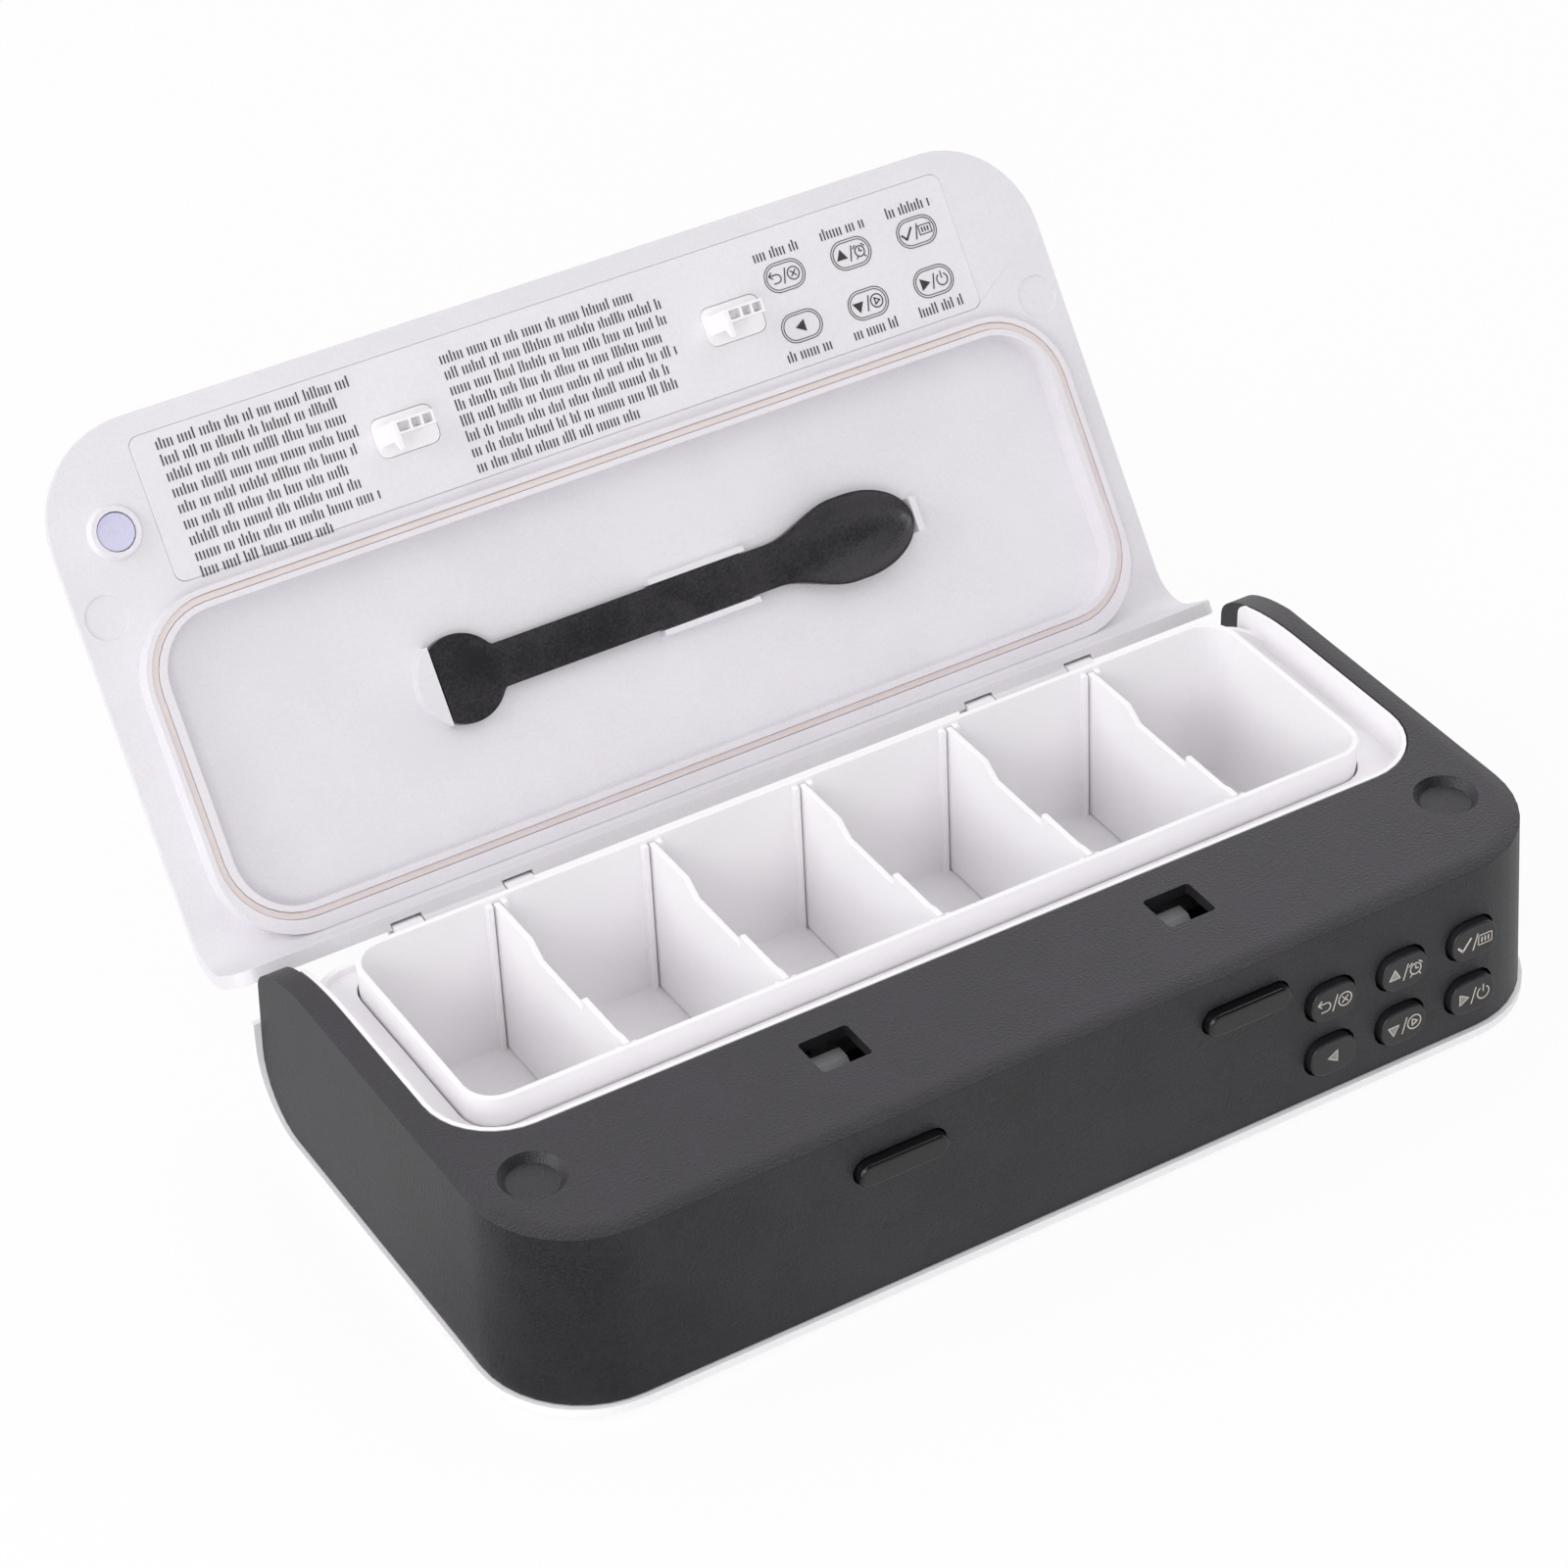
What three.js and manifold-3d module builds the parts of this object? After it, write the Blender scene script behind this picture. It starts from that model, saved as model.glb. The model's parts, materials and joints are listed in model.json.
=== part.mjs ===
// Electronic pill box with a hinged lid, shown open, in millimetres, +Z up.
// The origin is the middle of the case's flat underside. +X runs along the hinge, -Y is the front.
import * as THREE from 'three';
import { mergeVertices } from 'three/addons/utils/BufferGeometryUtils.js';
import Module from 'manifold-3d';

const wasm = await Module();
wasm.setup();

// Driving dimensions: one block of named sizes for each piece.
const overrun = 1;
const seatGap = 0.3;
const quarterTurn = Math.PI / 2;
const lidOpenDegrees = 126.7;

const shell = {
  length: 220,
  depth: 102,
  edgeHeight: 39,
  crownDrop: 0.6,
  crownBand: 4,
  partingHeight: 2.9,
  sideDraft: 1.07,
  frontDraft: 2.15,
  cornerRadius: 21,
  wall: 2.2,
  topWall: 2.4,
  solidEnd: 17,
  rearTopRun: 25,
  rearTopDrop: 9,
  rearLowRadius: 13,
};

const well = { armThickness: 4.8, deckDepth: 31.8, cornerRadius: 14.8 };

const recess = { radius: 6.2, floorRadius: 4.8, depth: 1.5, endInset: 12.3, frontInset: 20.4 };

const base = {
  floor: 1.8,
  lip: 0.8,
  proud: 0.8,
  chamfer: 0.8,
  rearWall: 1.2,
  rearDrop: 0.9,
  rimThickness: 1.2,
  rimHeight: 4,
  rimClearance: 0.6,
  rimRearInset: 17,
  pocketRearInset: 8,
};

const foot = {
  radius: 5,
  height: 1,
  pocketRadius: 5.3,
  pocketDepth: 0.5,
  endInset: 30,
  frontInset: 11,
  rearInset: 23,
};

const hinge = {
  overhang: 7.4,
  drop: 16.5,
  barrelRadius: 2.8,
  boreRadius: 1.7,
  pinRadius: 1.4,
  endInset: 46,
  knuckleLength: 17.2,
  lugLength: 6,
  gap: 0.3,
  webDepth: 5,
  webDrop: 2,
  pinInset: 0.6,
};

const lid = {
  endOverhang: 0.4,
  deckGap: 0.8,
  cornerRadius: 21,
  thickness: 2.7,
  hookRadius: 8.7,
  flangeU: 4.6,
  flangeDrop: 1.5,
  flangeCorner: 4,
  notchMargin: 0.35,
  edgeRound: 1.2,
  fieldDepth: 0.5,
};

const ring = {
  endInset: 6.9,
  rearU: 5.6,
  frontInset: 35.6,
  cornerRadius: 16.5,
  proud: 5,
  outerWall: 1.1,
  rearWall: 2.8,
  grooveWidth: 1.5,
  innerWall: 1.7,
  frontInnerWall: 1.2,
  grooveDepth: 3.4,
};

const seal = { sideGap: 0.2, faceDepth: 0.6 };

const label = {
  leftInset: 20.9,
  rightInset: 18.4,
  frontInset: 4.5,
  depth: 28.9,
  cornerRadius: 2,
  pocketDepth: 0.6,
  film: 0.3,
  sideGap: 0.2,
};

const magnet = {
  bossRadius: 5.7,
  bossTopRadius: 4.9,
  bossHeight: 1.3,
  radius: 3.7,
  pocketRadius: 3.9,
  thickness: 1.5,
};

const lidMark = { radius: 4.35, depth: 0.3, endInset: 5.6, frontInset: 35 };

const latch = { endInset: 73.1 };

const slot = { width: 10.2, depth: 9, frontInset: 16.1, cornerRadius: 0.7 };

const hook = {
  blockWidth: 9,
  height: 8.4,
  shankRear: 0.2,
  shankFront: 3,
  sideWidth: 1.2,
  sideRear: -0.9,
  barbRear: -2.7,
  barbHeight: 1.8,
  plateLeft: 5.8,
  plateRight: 7.7,
  plateRear: -3.2,
  plateFront: 4.7,
  plateRadius: 2,
  plateThickness: 1.2,
  pocketDepth: 1.5,
  cellCount: 3,
  cellWall: 0.5,
  cellDepth: 2.6,
};

const button = {
  width: 18.6,
  height: 5.1,
  topInset: 8.9,
  proud: 2,
  edgeRound: 0.8,
  holeGap: 0.35,
  plateHalfWidth: 11.6,
  plateHalfHeight: 4.2,
  plateThickness: 1.6,
  railOuter: 11.2,
  railInner: 9.2,
  railBelow: 3.6,
  railAbove: 0.8,
  barSetback: 22.8,
  barDepth: 4.7,
  travel: 2.2,
};

const runner = { thickness: 1.2, lip: 1.4, rearSetback: 26 };

const catchBlock = {
  left: 2.9,
  right: 4.5,
  depth: 3.8,
  height: 2.5,
  slope: 1,
  pegRadius: 1,
  pegHoleRadius: 1.3,
  pegLength: 2,
};

const spring = { coilRadius: 1.95, wireRadius: 0.25, drop: 1.9, turns: 5, stepsPerTurn: 7, wireSides: 4 };

const key = {
  endInset: 22,
  pitchX: 16.1,
  topInset: 15,
  pitchZ: 12.3,
  width: 10.3,
  height: 7.5,
  cornerRadius: 3.4,
  proud: 1.6,
  edgeRound: 0.45,
  holeGap: 0.6,
  flangeMargin: 1.35,
  flangeGap: 0.8,
  flangeThickness: 0.8,
  stemRadius: 1.6,
  travelGap: 0.8,
};

const keyBoard = { leftMargin: 5.8, rightMargin: 8, topInset: 7, setback: 9, thickness: 1.6 };

const tact = { size: 6, bodyDepth: 2.4, buttonRadius: 1.7, buttonDepth: 0.8 };

const keyBoardRib = { width: 3, wall: 1.2, height: 5 };

const mainBoard = {
  batteryGap: 6,
  keyBoardGap: 4,
  frontInset: 3.6,
  trayGap: 3.5,
  bottom: 6,
  thickness: 1.6,
  screwInset: 5,
};

const boardScrew = {
  postRadius: 2.5,
  holeRadius: 1.2,
  shaftRadius: 0.9,
  headRadius: 1.8,
  headHeight: 1.2,
  length: 4,
};

const display = { runnerGap: 3.2, depth: 3.8, setback: 6.1, topInset: 5.1 };

const buzzer = { radius: 6, height: 6.5, sideInset: 14, rearInset: 11, holeRadius: 1, holeDepth: 1 };

const battery = { endInset: 22, width: 58, frontInset: 5, trayGap: 4.5, thickness: 6.9, cornerRadius: 3 };

const lidSensor = { width: 8, depth: 6, height: 2.3 };

const chargeBoard = {
  endInset: 3,
  width: 13,
  frontInset: 16.5,
  depth: 10.3,
  bottom: 6,
  thickness: 1.2,
  postRadius: 2,
  postInset: 2.5,
};

const port = { width: 9, height: 3.2, depth: 7.4, wall: 0.4, holeGap: 0.4, tongue: 0.7, inset: 0.5 };

const caseScrew = {
  frontEndInset: 9,
  frontInset: 31,
  rearEndInset: 7,
  rearInset: 31,
  bossRadius: 3,
  rearBossInset: 15,
  ribThickness: 2.2,
  ribBottom: 7.4,
  holeRadius: 1.4,
  postRadius: 4,
  postTop: 4,
  clearRadius: 1.5,
  counterRadius: 2.8,
  counterDepth: 2.4,
  shaftRadius: 1.1,
  headRadius: 2.4,
  headHeight: 1.5,
  headInset: 0.6,
  length: 11,
};

const liner = {
  gap: 0.3,
  rimThickness: 0.9,
  rearInset: 7,
  endTopRadius: 2.5,
  ledgeInset: 6.8,
  ledgeThickness: 1.2,
  ledgeRearInset: 6.6,
  ledgeRearRadius: 9,
  lipHeight: 1.5,
  lipThickness: 1.2,
  pocketWall: 1.2,
  pocketFloor: 0.9,
  apronBottom: 4.8,
};

const tray = {
  endInset: 8.2,
  frontInset: 9.7,
  rearInset: 9,
  cornerRadius: 7,
  bottom: 3.3,
  topInset: 0.4,
  draft: 1.3,
  wall: 1.2,
  floor: 1,
  sideGap: 0.4,
  guideWidth: 1.3,
  guideDepth: 1.2,
};

const divider = {
  endWidth: 31,
  count: 5,
  thickness: 1.2,
  topDrop: 0.8,
  sideGap: 0.35,
  dipFront: 9.7,
  dipRear: 6.3,
  dipSlope: 3.8,
  dipDepth: 2.4,
  nubLength: 3,
  nubHeight: 0.5,
};

const spoon = {
  cutX: -47.2,
  headX: -42.5,
  headRadius: 8.85,
  offMiddle: 1.3,
  shaftHalf: 4.4,
  topDepth: 2.4,
  neckStartX: 28,
  neckEndX: 43,
  bowlX: 46,
  bowlHalfLength: 13.5,
  bowlHalfWidth: 8.7,
  rimDepth: 3.7,
  dish: 2.8,
  edge: 0.8,
  tipHalf: 1.2,
};

const spoonSeat = {
  discRadius: 9.5,
  discGap: 0.4,
  discHeight: 2.5,
  railStartX: 0.7,
  railEndX: 22.5,
  railThickness: 1.2,
  railHeight: 2.3,
  clipThickness: 1.3,
  clipWidth: 7.2,
  clipHeight: 4,
};

// Surface colours.
const finishes = {
  charcoal: { color: 0x48464a, roughness: 0.6, metalness: 0 },
  gloss: { color: 0x151517, roughness: 0.12, metalness: 0 },
  satinBlack: { color: 0x1f1f22, roughness: 0.4, metalness: 0 },
  white: { color: 0xe9e7ea, roughness: 0.45, metalness: 0 },
  lavender: { color: 0xd3d0e6, roughness: 0.4, metalness: 0 },
  silicone: { color: 0xe3d5d2, roughness: 0.7, metalness: 0 },
  grey: { color: 0x8d8c90, roughness: 0.5, metalness: 0 },
  steel: { color: 0xb9babd, roughness: 0.3, metalness: 1 },
  board: { color: 0x2b5a3c, roughness: 0.5, metalness: 0 },
  pouch: { color: 0xb4b8bd, roughness: 0.4, metalness: 0.6 },
  rubber: { color: 0x2a2a2c, roughness: 0.9, metalness: 0 },
};

const axisX = new THREE.Vector3(1, 0, 0);
const axisY = new THREE.Vector3(0, 1, 0);
const axisZ = new THREE.Vector3(0, 0, 1);

// A closed three.js mesh as a solid that can be cut and joined.
function solid(geometry) {
  const bare = new THREE.BufferGeometry();
  bare.setAttribute('position', geometry.getAttribute('position'));
  bare.setIndex(geometry.getIndex());
  const merged = mergeVertices(bare);
  const index = merged.getIndex().array;
  const triangles = [];
  for (let i = 0; i < index.length; i += 3) {
    const [a, b, c] = [index[i], index[i + 1], index[i + 2]];
    if (a !== b && b !== c && c !== a) triangles.push(a, b, c);
  }
  const vertProperties = Float32Array.from(merged.getAttribute('position').array);
  const triVerts = Uint32Array.from(triangles);
  return new wasm.Manifold(new wasm.Mesh({ numProp: 3, vertProperties, triVerts }));
}

// The solid as a mesh again.
function geometry(body) {
  const found = body.getMesh();
  const places = Float32Array.from(found.vertProperties);
  const result = new THREE.BufferGeometry();
  result.setAttribute('position', new THREE.BufferAttribute(places, found.numProp));
  result.setIndex(new THREE.BufferAttribute(Uint32Array.from(found.triVerts), 1));
  result.computeVertexNormals();
  return result;
}

function join(first, ...others) {
  return others.reduce((sum, other) => sum.add(other), first);
}

function cut(first, ...tools) {
  return tools.reduce((rest, tool) => rest.subtract(tool), first);
}

function part(name, shape, finish) {
  const mesh = new THREE.Mesh(geometry(shape), new THREE.MeshStandardMaterial(finishes[finish]));
  mesh.name = name;
  return mesh;
}

// A rectangle with a radius at each corner: front left, front right, back right, back left.
function roundedOutline(x0, x1, y0, y1, radii, steps = 8) {
  const [frontLeft, frontRight, backRight, backLeft] = radii;
  const corners = [
    [x1 - frontRight, y0 + frontRight, frontRight, -quarterTurn],
    [x1 - backRight, y1 - backRight, backRight, 0],
    [x0 + backLeft, y1 - backLeft, backLeft, quarterTurn],
    [x0 + frontLeft, y0 + frontLeft, frontLeft, 2 * quarterTurn],
  ];
  const points = [];
  for (const [x, y, radius, start] of corners) {
    const count = radius > 0 ? steps : 0;
    for (let i = 0; i <= count; i++) {
      const angle = start + (count ? (quarterTurn * i) / count : 0);
      points.push(new THREE.Vector2(x + radius * Math.cos(angle), y + radius * Math.sin(angle)));
    }
  }
  return points;
}

function arcPoints(x, y, radius, start, end, steps = 10, rise = radius) {
  const points = [];
  for (let i = 0; i <= steps; i++) {
    const angle = start + ((end - start) * i) / steps;
    points.push(new THREE.Vector2(x + radius * Math.cos(angle), y + rise * Math.sin(angle)));
  }
  return points;
}

// An outline in X and Y, raised along Z.
function prism(points, z0, z1) {
  const shape = new THREE.Shape(points);
  const body = new THREE.ExtrudeGeometry(shape, { depth: z1 - z0, bevelEnabled: false });
  return solid(body.translate(0, 0, z0));
}

// An outline in Y and Z, run along X.
function runX(points, x0, x1) {
  const shape = new THREE.Shape(points);
  const body = new THREE.ExtrudeGeometry(shape, { depth: x1 - x0, bevelEnabled: false });
  const turn = new THREE.Matrix4().makeBasis(axisY, axisZ, axisX);
  return solid(body.applyMatrix4(turn).translate(x0, 0, 0));
}

// An outline in X and Z, run along Y.
function runY(points, y0, y1) {
  const shape = new THREE.Shape(points);
  const body = new THREE.ExtrudeGeometry(shape, { depth: y1 - y0, bevelEnabled: false });
  const turn = new THREE.Matrix4().makeBasis(axisX, axisZ, axisY.clone().negate());
  return solid(body.applyMatrix4(turn).translate(0, y1, 0));
}

function block(x0, x1, y0, y1, z0, z1) {
  const body = new THREE.BoxGeometry(x1 - x0, y1 - y0, z1 - z0);
  return solid(body.translate((x0 + x1) / 2, (y0 + y1) / 2, (z0 + z1) / 2));
}

function post(x, y, radius, z0, z1, sides = 24) {
  return taper(x, y, radius, radius, z0, z1, sides);
}

// An upright post that widens or narrows from its low end to its high end.
function taper(x, y, lowRadius, highRadius, z0, z1, sides) {
  const body = new THREE.CylinderGeometry(highRadius, lowRadius, z1 - z0, sides);
  return solid(body.rotateX(quarterTurn).translate(x, y, (z0 + z1) / 2));
}

function rodX(y, z, radius, x0, x1, sides = 20) {
  const body = new THREE.CylinderGeometry(radius, radius, x1 - x0, sides);
  return solid(body.rotateZ(quarterTurn).translate((x0 + x1) / 2, y, z));
}

function rodY(x, z, radius, y0, y1, sides = 20) {
  const body = new THREE.CylinderGeometry(radius, radius, y1 - y0, sides);
  return solid(body.translate(x, (y0 + y1) / 2, z));
}

// Skin over rings of equal count, each end closed by a fan to the ring's middle.
function skin(rings) {
  const count = rings[0].length;
  const vertices = rings.flat();
  const index = [];
  for (let i = 0; i + 1 < rings.length; i++) {
    for (let j = 0; j < count; j++) {
      const [a, b] = [i * count + j, i * count + ((j + 1) % count)];
      index.push(a, b, b + count, a, b + count, a + count);
    }
  }
  for (const [ring, turned] of [[0, true], [rings.length - 1, false]]) {
    const middle = new THREE.Vector3();
    rings[ring].forEach((point) => middle.addScaledVector(point, 1 / count));
    vertices.push(middle);
    for (let j = 0; j < count; j++) {
      const [a, b] = [ring * count + j, ring * count + ((j + 1) % count)];
      index.push(...(turned ? [b, a, vertices.length - 1] : [a, b, vertices.length - 1]));
    }
  }
  const body = new THREE.BufferGeometry().setFromPoints(vertices);
  body.setIndex(index);
  return solid(body);
}

// Level outlines stacked along Z.
function loft(levels) {
  return skin(levels.map(({ points, z }) => points.map((p) => new THREE.Vector3(p.x, p.y, z))));
}

// A cap that is pressed along Y: its outline shrinks to the front through a rounded edge.
function pressCap(outline, front, rear, round) {
  const edgeShares = [[0, 1], [0.08, 0.6], [0.35, 0.24], [1, 0]];
  const rings = [outline(0).map((p) => new THREE.Vector3(p.x, rear, p.y))];
  for (const [insetShare, depthShare] of edgeShares) {
    const y = front + round * depthShare;
    rings.push(outline(-round * insetShare).map((p) => new THREE.Vector3(p.x, y, p.y)));
  }
  return skin(rings);
}

// Derived places of the case.
const halfLength = shell.length / 2;
const frontEdgeY = -shell.depth / 2;
const rearY = shell.depth / 2;
const topZ = shell.edgeHeight + shell.crownDrop;
const rearTopStart = rearY - shell.rearTopRun;
const wallHeight = shell.edgeHeight - shell.partingHeight;
const leanSlope = shell.frontDraft / wallHeight;
const leanAngle = Math.atan(leanSlope);
const undersideZ = topZ - shell.topWall;
const baseTop = base.floor + base.lip;
const wellHalf = halfLength - well.armThickness;
const wellFrontY = frontEdgeY + well.deckDepth;
const recessX = halfLength - recess.endInset;
const recessY = frontEdgeY + recess.frontInset;
const footX = halfLength - foot.endInset;
const footFrontY = frontEdgeY + foot.frontInset;
const footRearY = rearY - foot.rearInset;
const slotFrontY = frontEdgeY + slot.frontInset;
const slotRearY = slotFrontY + slot.depth;

// Hinge line, and the lid's levels and edges measured from it.
const hingeY = rearY + hinge.overhang;
const hingeZ = shell.edgeHeight - hinge.drop;
const hingeX = halfLength - hinge.endInset;
const lidHalfLength = halfLength + lid.endOverhang;
const lidReach = hingeY - frontEdgeY;
const lidInnerLevel = topZ - hingeZ + lid.deckGap;
const lidOuterLevel = lidInnerLevel + lid.thickness;
const ridgeLevel = lidInnerLevel - ring.proud;
const fieldLevel = lidInnerLevel + lid.fieldDepth;
const ringHalfLength = lidHalfLength - ring.endInset;
const ringFrontU = lidReach - ring.frontInset;
const spoonU = (ring.rearU + ringFrontU) / 2 + spoon.offMiddle;
const magnetU = hingeY - recessY;
const hookU = hingeY - (slotFrontY + slotRearY) / 2;

// Tray in its well.
const trayHalfLength = wellHalf - tray.endInset;
const trayFrontY = wellFrontY + tray.frontInset;
const trayRearY = rearY - tray.rearInset;
const trayTop = shell.edgeHeight - tray.topInset;
const traySlope = tray.draft / (trayTop - tray.bottom);
const dividerPitch = (2 * (trayHalfLength - divider.endWidth)) / (divider.count - 1);
const middleDivider = (divider.count - 1) / 2;
const dividerPlaces = Array.from({ length: divider.count }, (_, i) => (i - middleDivider) * dividerPitch);

// Ledge of the liner.
const linerEndY = rearY - liner.rearInset;
const ledgeTop = shell.edgeHeight - liner.ledgeInset;
const ledgeBottom = ledgeTop - liner.ledgeThickness;
const ledgeRearY = rearY - liner.ledgeRearInset;
const lipTop = ledgeTop + liner.lipHeight;

// Latch parts, from the button's middle height and the front wall's inner face.
const latchX = halfLength - latch.endInset;
const buttonZ = shell.edgeHeight - button.topInset;
const plateBottom = buttonZ - button.plateHalfHeight;
const plateTop = buttonZ + button.plateHalfHeight;
const railBottom = buttonZ - button.railBelow;
const railTop = buttonZ + button.railAbove;
const plateFrontY = frontY(plateTop) + shell.wall + seatGap;
const plateRearY = plateFrontY + button.plateThickness;
const barFrontY = frontEdgeY + button.barSetback;
const barRearY = barFrontY + button.barDepth;
const springZ = buttonZ - spring.drop;

// Key columns and rows, from the right end and the top.
const lastKeyX = halfLength - key.endInset;
const firstKeyX = lastKeyX - 2 * key.pitchX;
const upperKeyZ = shell.edgeHeight - key.topInset;
const lowerKeyZ = upperKeyZ - key.pitchZ;
const keyBoardRearY = frontEdgeY + keyBoard.setback;
const keyBoardFrontY = keyBoardRearY - keyBoard.thickness;
const keyBoardLeftX = firstKeyX - keyBoard.leftMargin;
const keyBoardRightX = lastKeyX + keyBoard.rightMargin;
const switchFrontY = keyBoardFrontY - seatGap - tact.bodyDepth - tact.buttonDepth;

// Battery and boards.
const batteryLeftX = battery.endInset - halfLength;
const batteryRightX = batteryLeftX + battery.width;
const mainBoardLeftX = batteryRightX + mainBoard.batteryGap;
const mainBoardRightX = keyBoardLeftX - mainBoard.keyBoardGap;
const mainBoardFrontY = frontEdgeY + mainBoard.frontInset;
const mainBoardRearY = trayFrontY - mainBoard.trayGap;
const mainBoardTop = mainBoard.bottom + mainBoard.thickness;
const chargeBoardOuterX = halfLength - chargeBoard.endInset;
const chargeBoardInnerX = chargeBoardOuterX - chargeBoard.width;
const chargeBoardFrontY = frontEdgeY + chargeBoard.frontInset;
const chargeBoardRearY = chargeBoardFrontY + chargeBoard.depth;
const portY = (chargeBoardFrontY + chargeBoardRearY) / 2;
const portZ = chargeBoard.bottom + chargeBoard.thickness + seatGap + port.height / 2;
const caseScrewTip = caseScrew.headInset + caseScrew.headHeight + caseScrew.length;
const rearBossTop = shell.edgeHeight - caseScrew.rearBossInset;

function frontY(z) {
  return frontEdgeY - leanSlope * (shell.edgeHeight - z);
}

function sideX(z) {
  return halfLength + (shell.sideDraft * (shell.edgeHeight - z)) / wallHeight;
}

// Plan outline of the case at a height, moved inwards by an inset, with its rear left long.
function casePlan(z, inset, rear = rearY + shell.rearTopRun, steps = 10) {
  const x = sideX(z) - inset;
  const radius = shell.cornerRadius - inset;
  return roundedOutline(-x, x, frontY(z) + inset, rear, [radius, radius, 0, 0], steps);
}

// Falling top of the arms, from a place near the rear forward to where it starts.
function rearTopCurve(y, steps) {
  const start = Math.acos((y - rearTopStart) / shell.rearTopRun);
  const centreZ = topZ - shell.rearTopDrop;
  return arcPoints(rearTopStart, centreZ, shell.rearTopRun, start, quarterTurn, steps, shell.rearTopDrop);
}

// Black upper case.
function bodyShell() {
  const sill = shell.partingHeight - overrun;
  const bandShares = [[0, 0], [0.3, 0.45], [0.65, 0.85], [1, 1]];
  const levels = [{ points: casePlan(sill, 0), z: sill }];
  for (const [insetShare, riseShare] of bandShares) {
    const z = shell.edgeHeight + shell.crownDrop * riseShare;
    levels.push({ points: casePlan(shell.edgeHeight, shell.crownBand * insetShare), z });
  }
  const outer = loft(levels);
  const lowCentre = shell.partingHeight + shell.rearLowRadius;
  const lowY = rearY - shell.rearLowRadius;
  const side = [
    new THREE.Vector2(frontEdgeY - shell.cornerRadius, shell.partingHeight),
    ...arcPoints(lowY, lowCentre, shell.rearLowRadius, -quarterTurn, 0, 8),
    ...rearTopCurve(rearY, 14),
    new THREE.Vector2(rearTopStart, topZ + overrun),
    new THREE.Vector2(frontEdgeY - shell.cornerRadius, topZ + overrun),
  ];
  const trimmed = outer.intersect(runX(side, -shell.length, shell.length));
  const hollowRear = rearY - shell.solidEnd;
  const hollow = loft([
    { points: casePlan(sill - overrun, shell.wall, hollowRear, 6), z: sill - overrun },
    { points: casePlan(undersideZ, shell.wall, hollowRear, 6), z: undersideZ },
  ]);
  const wellRadii = [well.cornerRadius, well.cornerRadius, 0, 0];
  const wellPlan = roundedOutline(-wellHalf, wellHalf, wellFrontY, rearY + overrun, wellRadii, 9);
  const opening = prism(wellPlan, sill - overrun, topZ + overrun);
  let body = cut(trimmed, hollow, opening);
  for (const side of [-1, 1]) {
    const { radius, floorRadius, depth } = recess;
    body = cut(body, taper(side * recessX, recessY, floorRadius, radius, topZ - depth, topZ, 28));
    const slotX = side * latchX;
    const [slotStart, slotEnd] = [slotX - slot.width / 2, slotX + slot.width / 2];
    const slotRadii = Array(4).fill(slot.cornerRadius);
    const slotPlan = roundedOutline(slotStart, slotEnd, slotFrontY, slotRearY, slotRadii, 3);
    body = cut(body, prism(slotPlan, undersideZ - overrun, topZ + overrun));
    body = cut(body, runY(buttonOutline(slotX, button.holeGap), frontY(buttonZ) - overrun, plateFrontY));
    body = join(body, ...runners(slotX), ...screwBosses(side));
    const holeBottom = shell.partingHeight - overrun;
    for (const [x, y] of caseScrewPlaces(side)) {
      body = cut(body, post(x, y, caseScrew.holeRadius, holeBottom, caseScrewTip + overrun, 12));
    }
  }
  for (const { x, z } of keyPlaces) body = cut(body, keyHole(x, z));
  return cut(body, portHole());
}

// Rounded bar outline of a latch button, grown by a margin.
function buttonOutline(x, margin) {
  const halfWidth = button.width / 2 + margin;
  const halfHeight = button.height / 2 + margin;
  const radii = [halfHeight, halfHeight, halfHeight, halfHeight];
  return roundedOutline(x - halfWidth, x + halfWidth, buttonZ - halfHeight, buttonZ + halfHeight, radii, 6);
}

// Guides under the deck that carry the button's rails.
function runners(x) {
  const inner = button.railOuter + seatGap;
  const outer = inner + runner.thickness;
  const frontEnd = plateRearY + button.travel + seatGap;
  const rearEnd = frontEdgeY + runner.rearSetback;
  const footTop = railBottom - seatGap;
  const footBottom = footTop - runner.thickness;
  const guides = [];
  for (const side of [-1, 1]) {
    const [a, b] = side > 0 ? [x + inner, x + outer] : [x - outer, x - inner];
    const [c, d] = side > 0 ? [x + inner - runner.lip, b] : [a, x - inner + runner.lip];
    guides.push(block(a, b, frontEnd, rearEnd, footBottom, undersideZ + overrun));
    guides.push(block(c, d, frontEnd, rearEnd, footBottom, footTop));
  }
  return guides;
}

// Case screws: front bosses hang from the deck, rear bosses stand off the arm's wall.
function caseScrewPlaces(side) {
  return [
    [side * (halfLength - caseScrew.frontEndInset), frontEdgeY + caseScrew.frontInset],
    [side * (halfLength - caseScrew.rearEndInset), rearY - caseScrew.rearInset],
  ];
}

function screwBosses(side) {
  const bottom = caseScrew.postTop + seatGap;
  const [[frontX, frontBossY], [rearX, rearBossY]] = caseScrewPlaces(side);
  const wallX = side * (sideX(rearBossTop) - shell.wall + overrun);
  const [ribStart, ribEnd] = [Math.min(rearX, wallX), Math.max(rearX, wallX)];
  const half = caseScrew.ribThickness / 2;
  return [
    post(frontX, frontBossY, caseScrew.bossRadius, bottom, undersideZ + overrun, 14),
    post(rearX, rearBossY, caseScrew.bossRadius, bottom, rearBossTop, 14),
    block(ribStart, ribEnd, rearBossY - half, rearBossY + half, caseScrew.ribBottom, rearBossTop),
  ];
}

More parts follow.
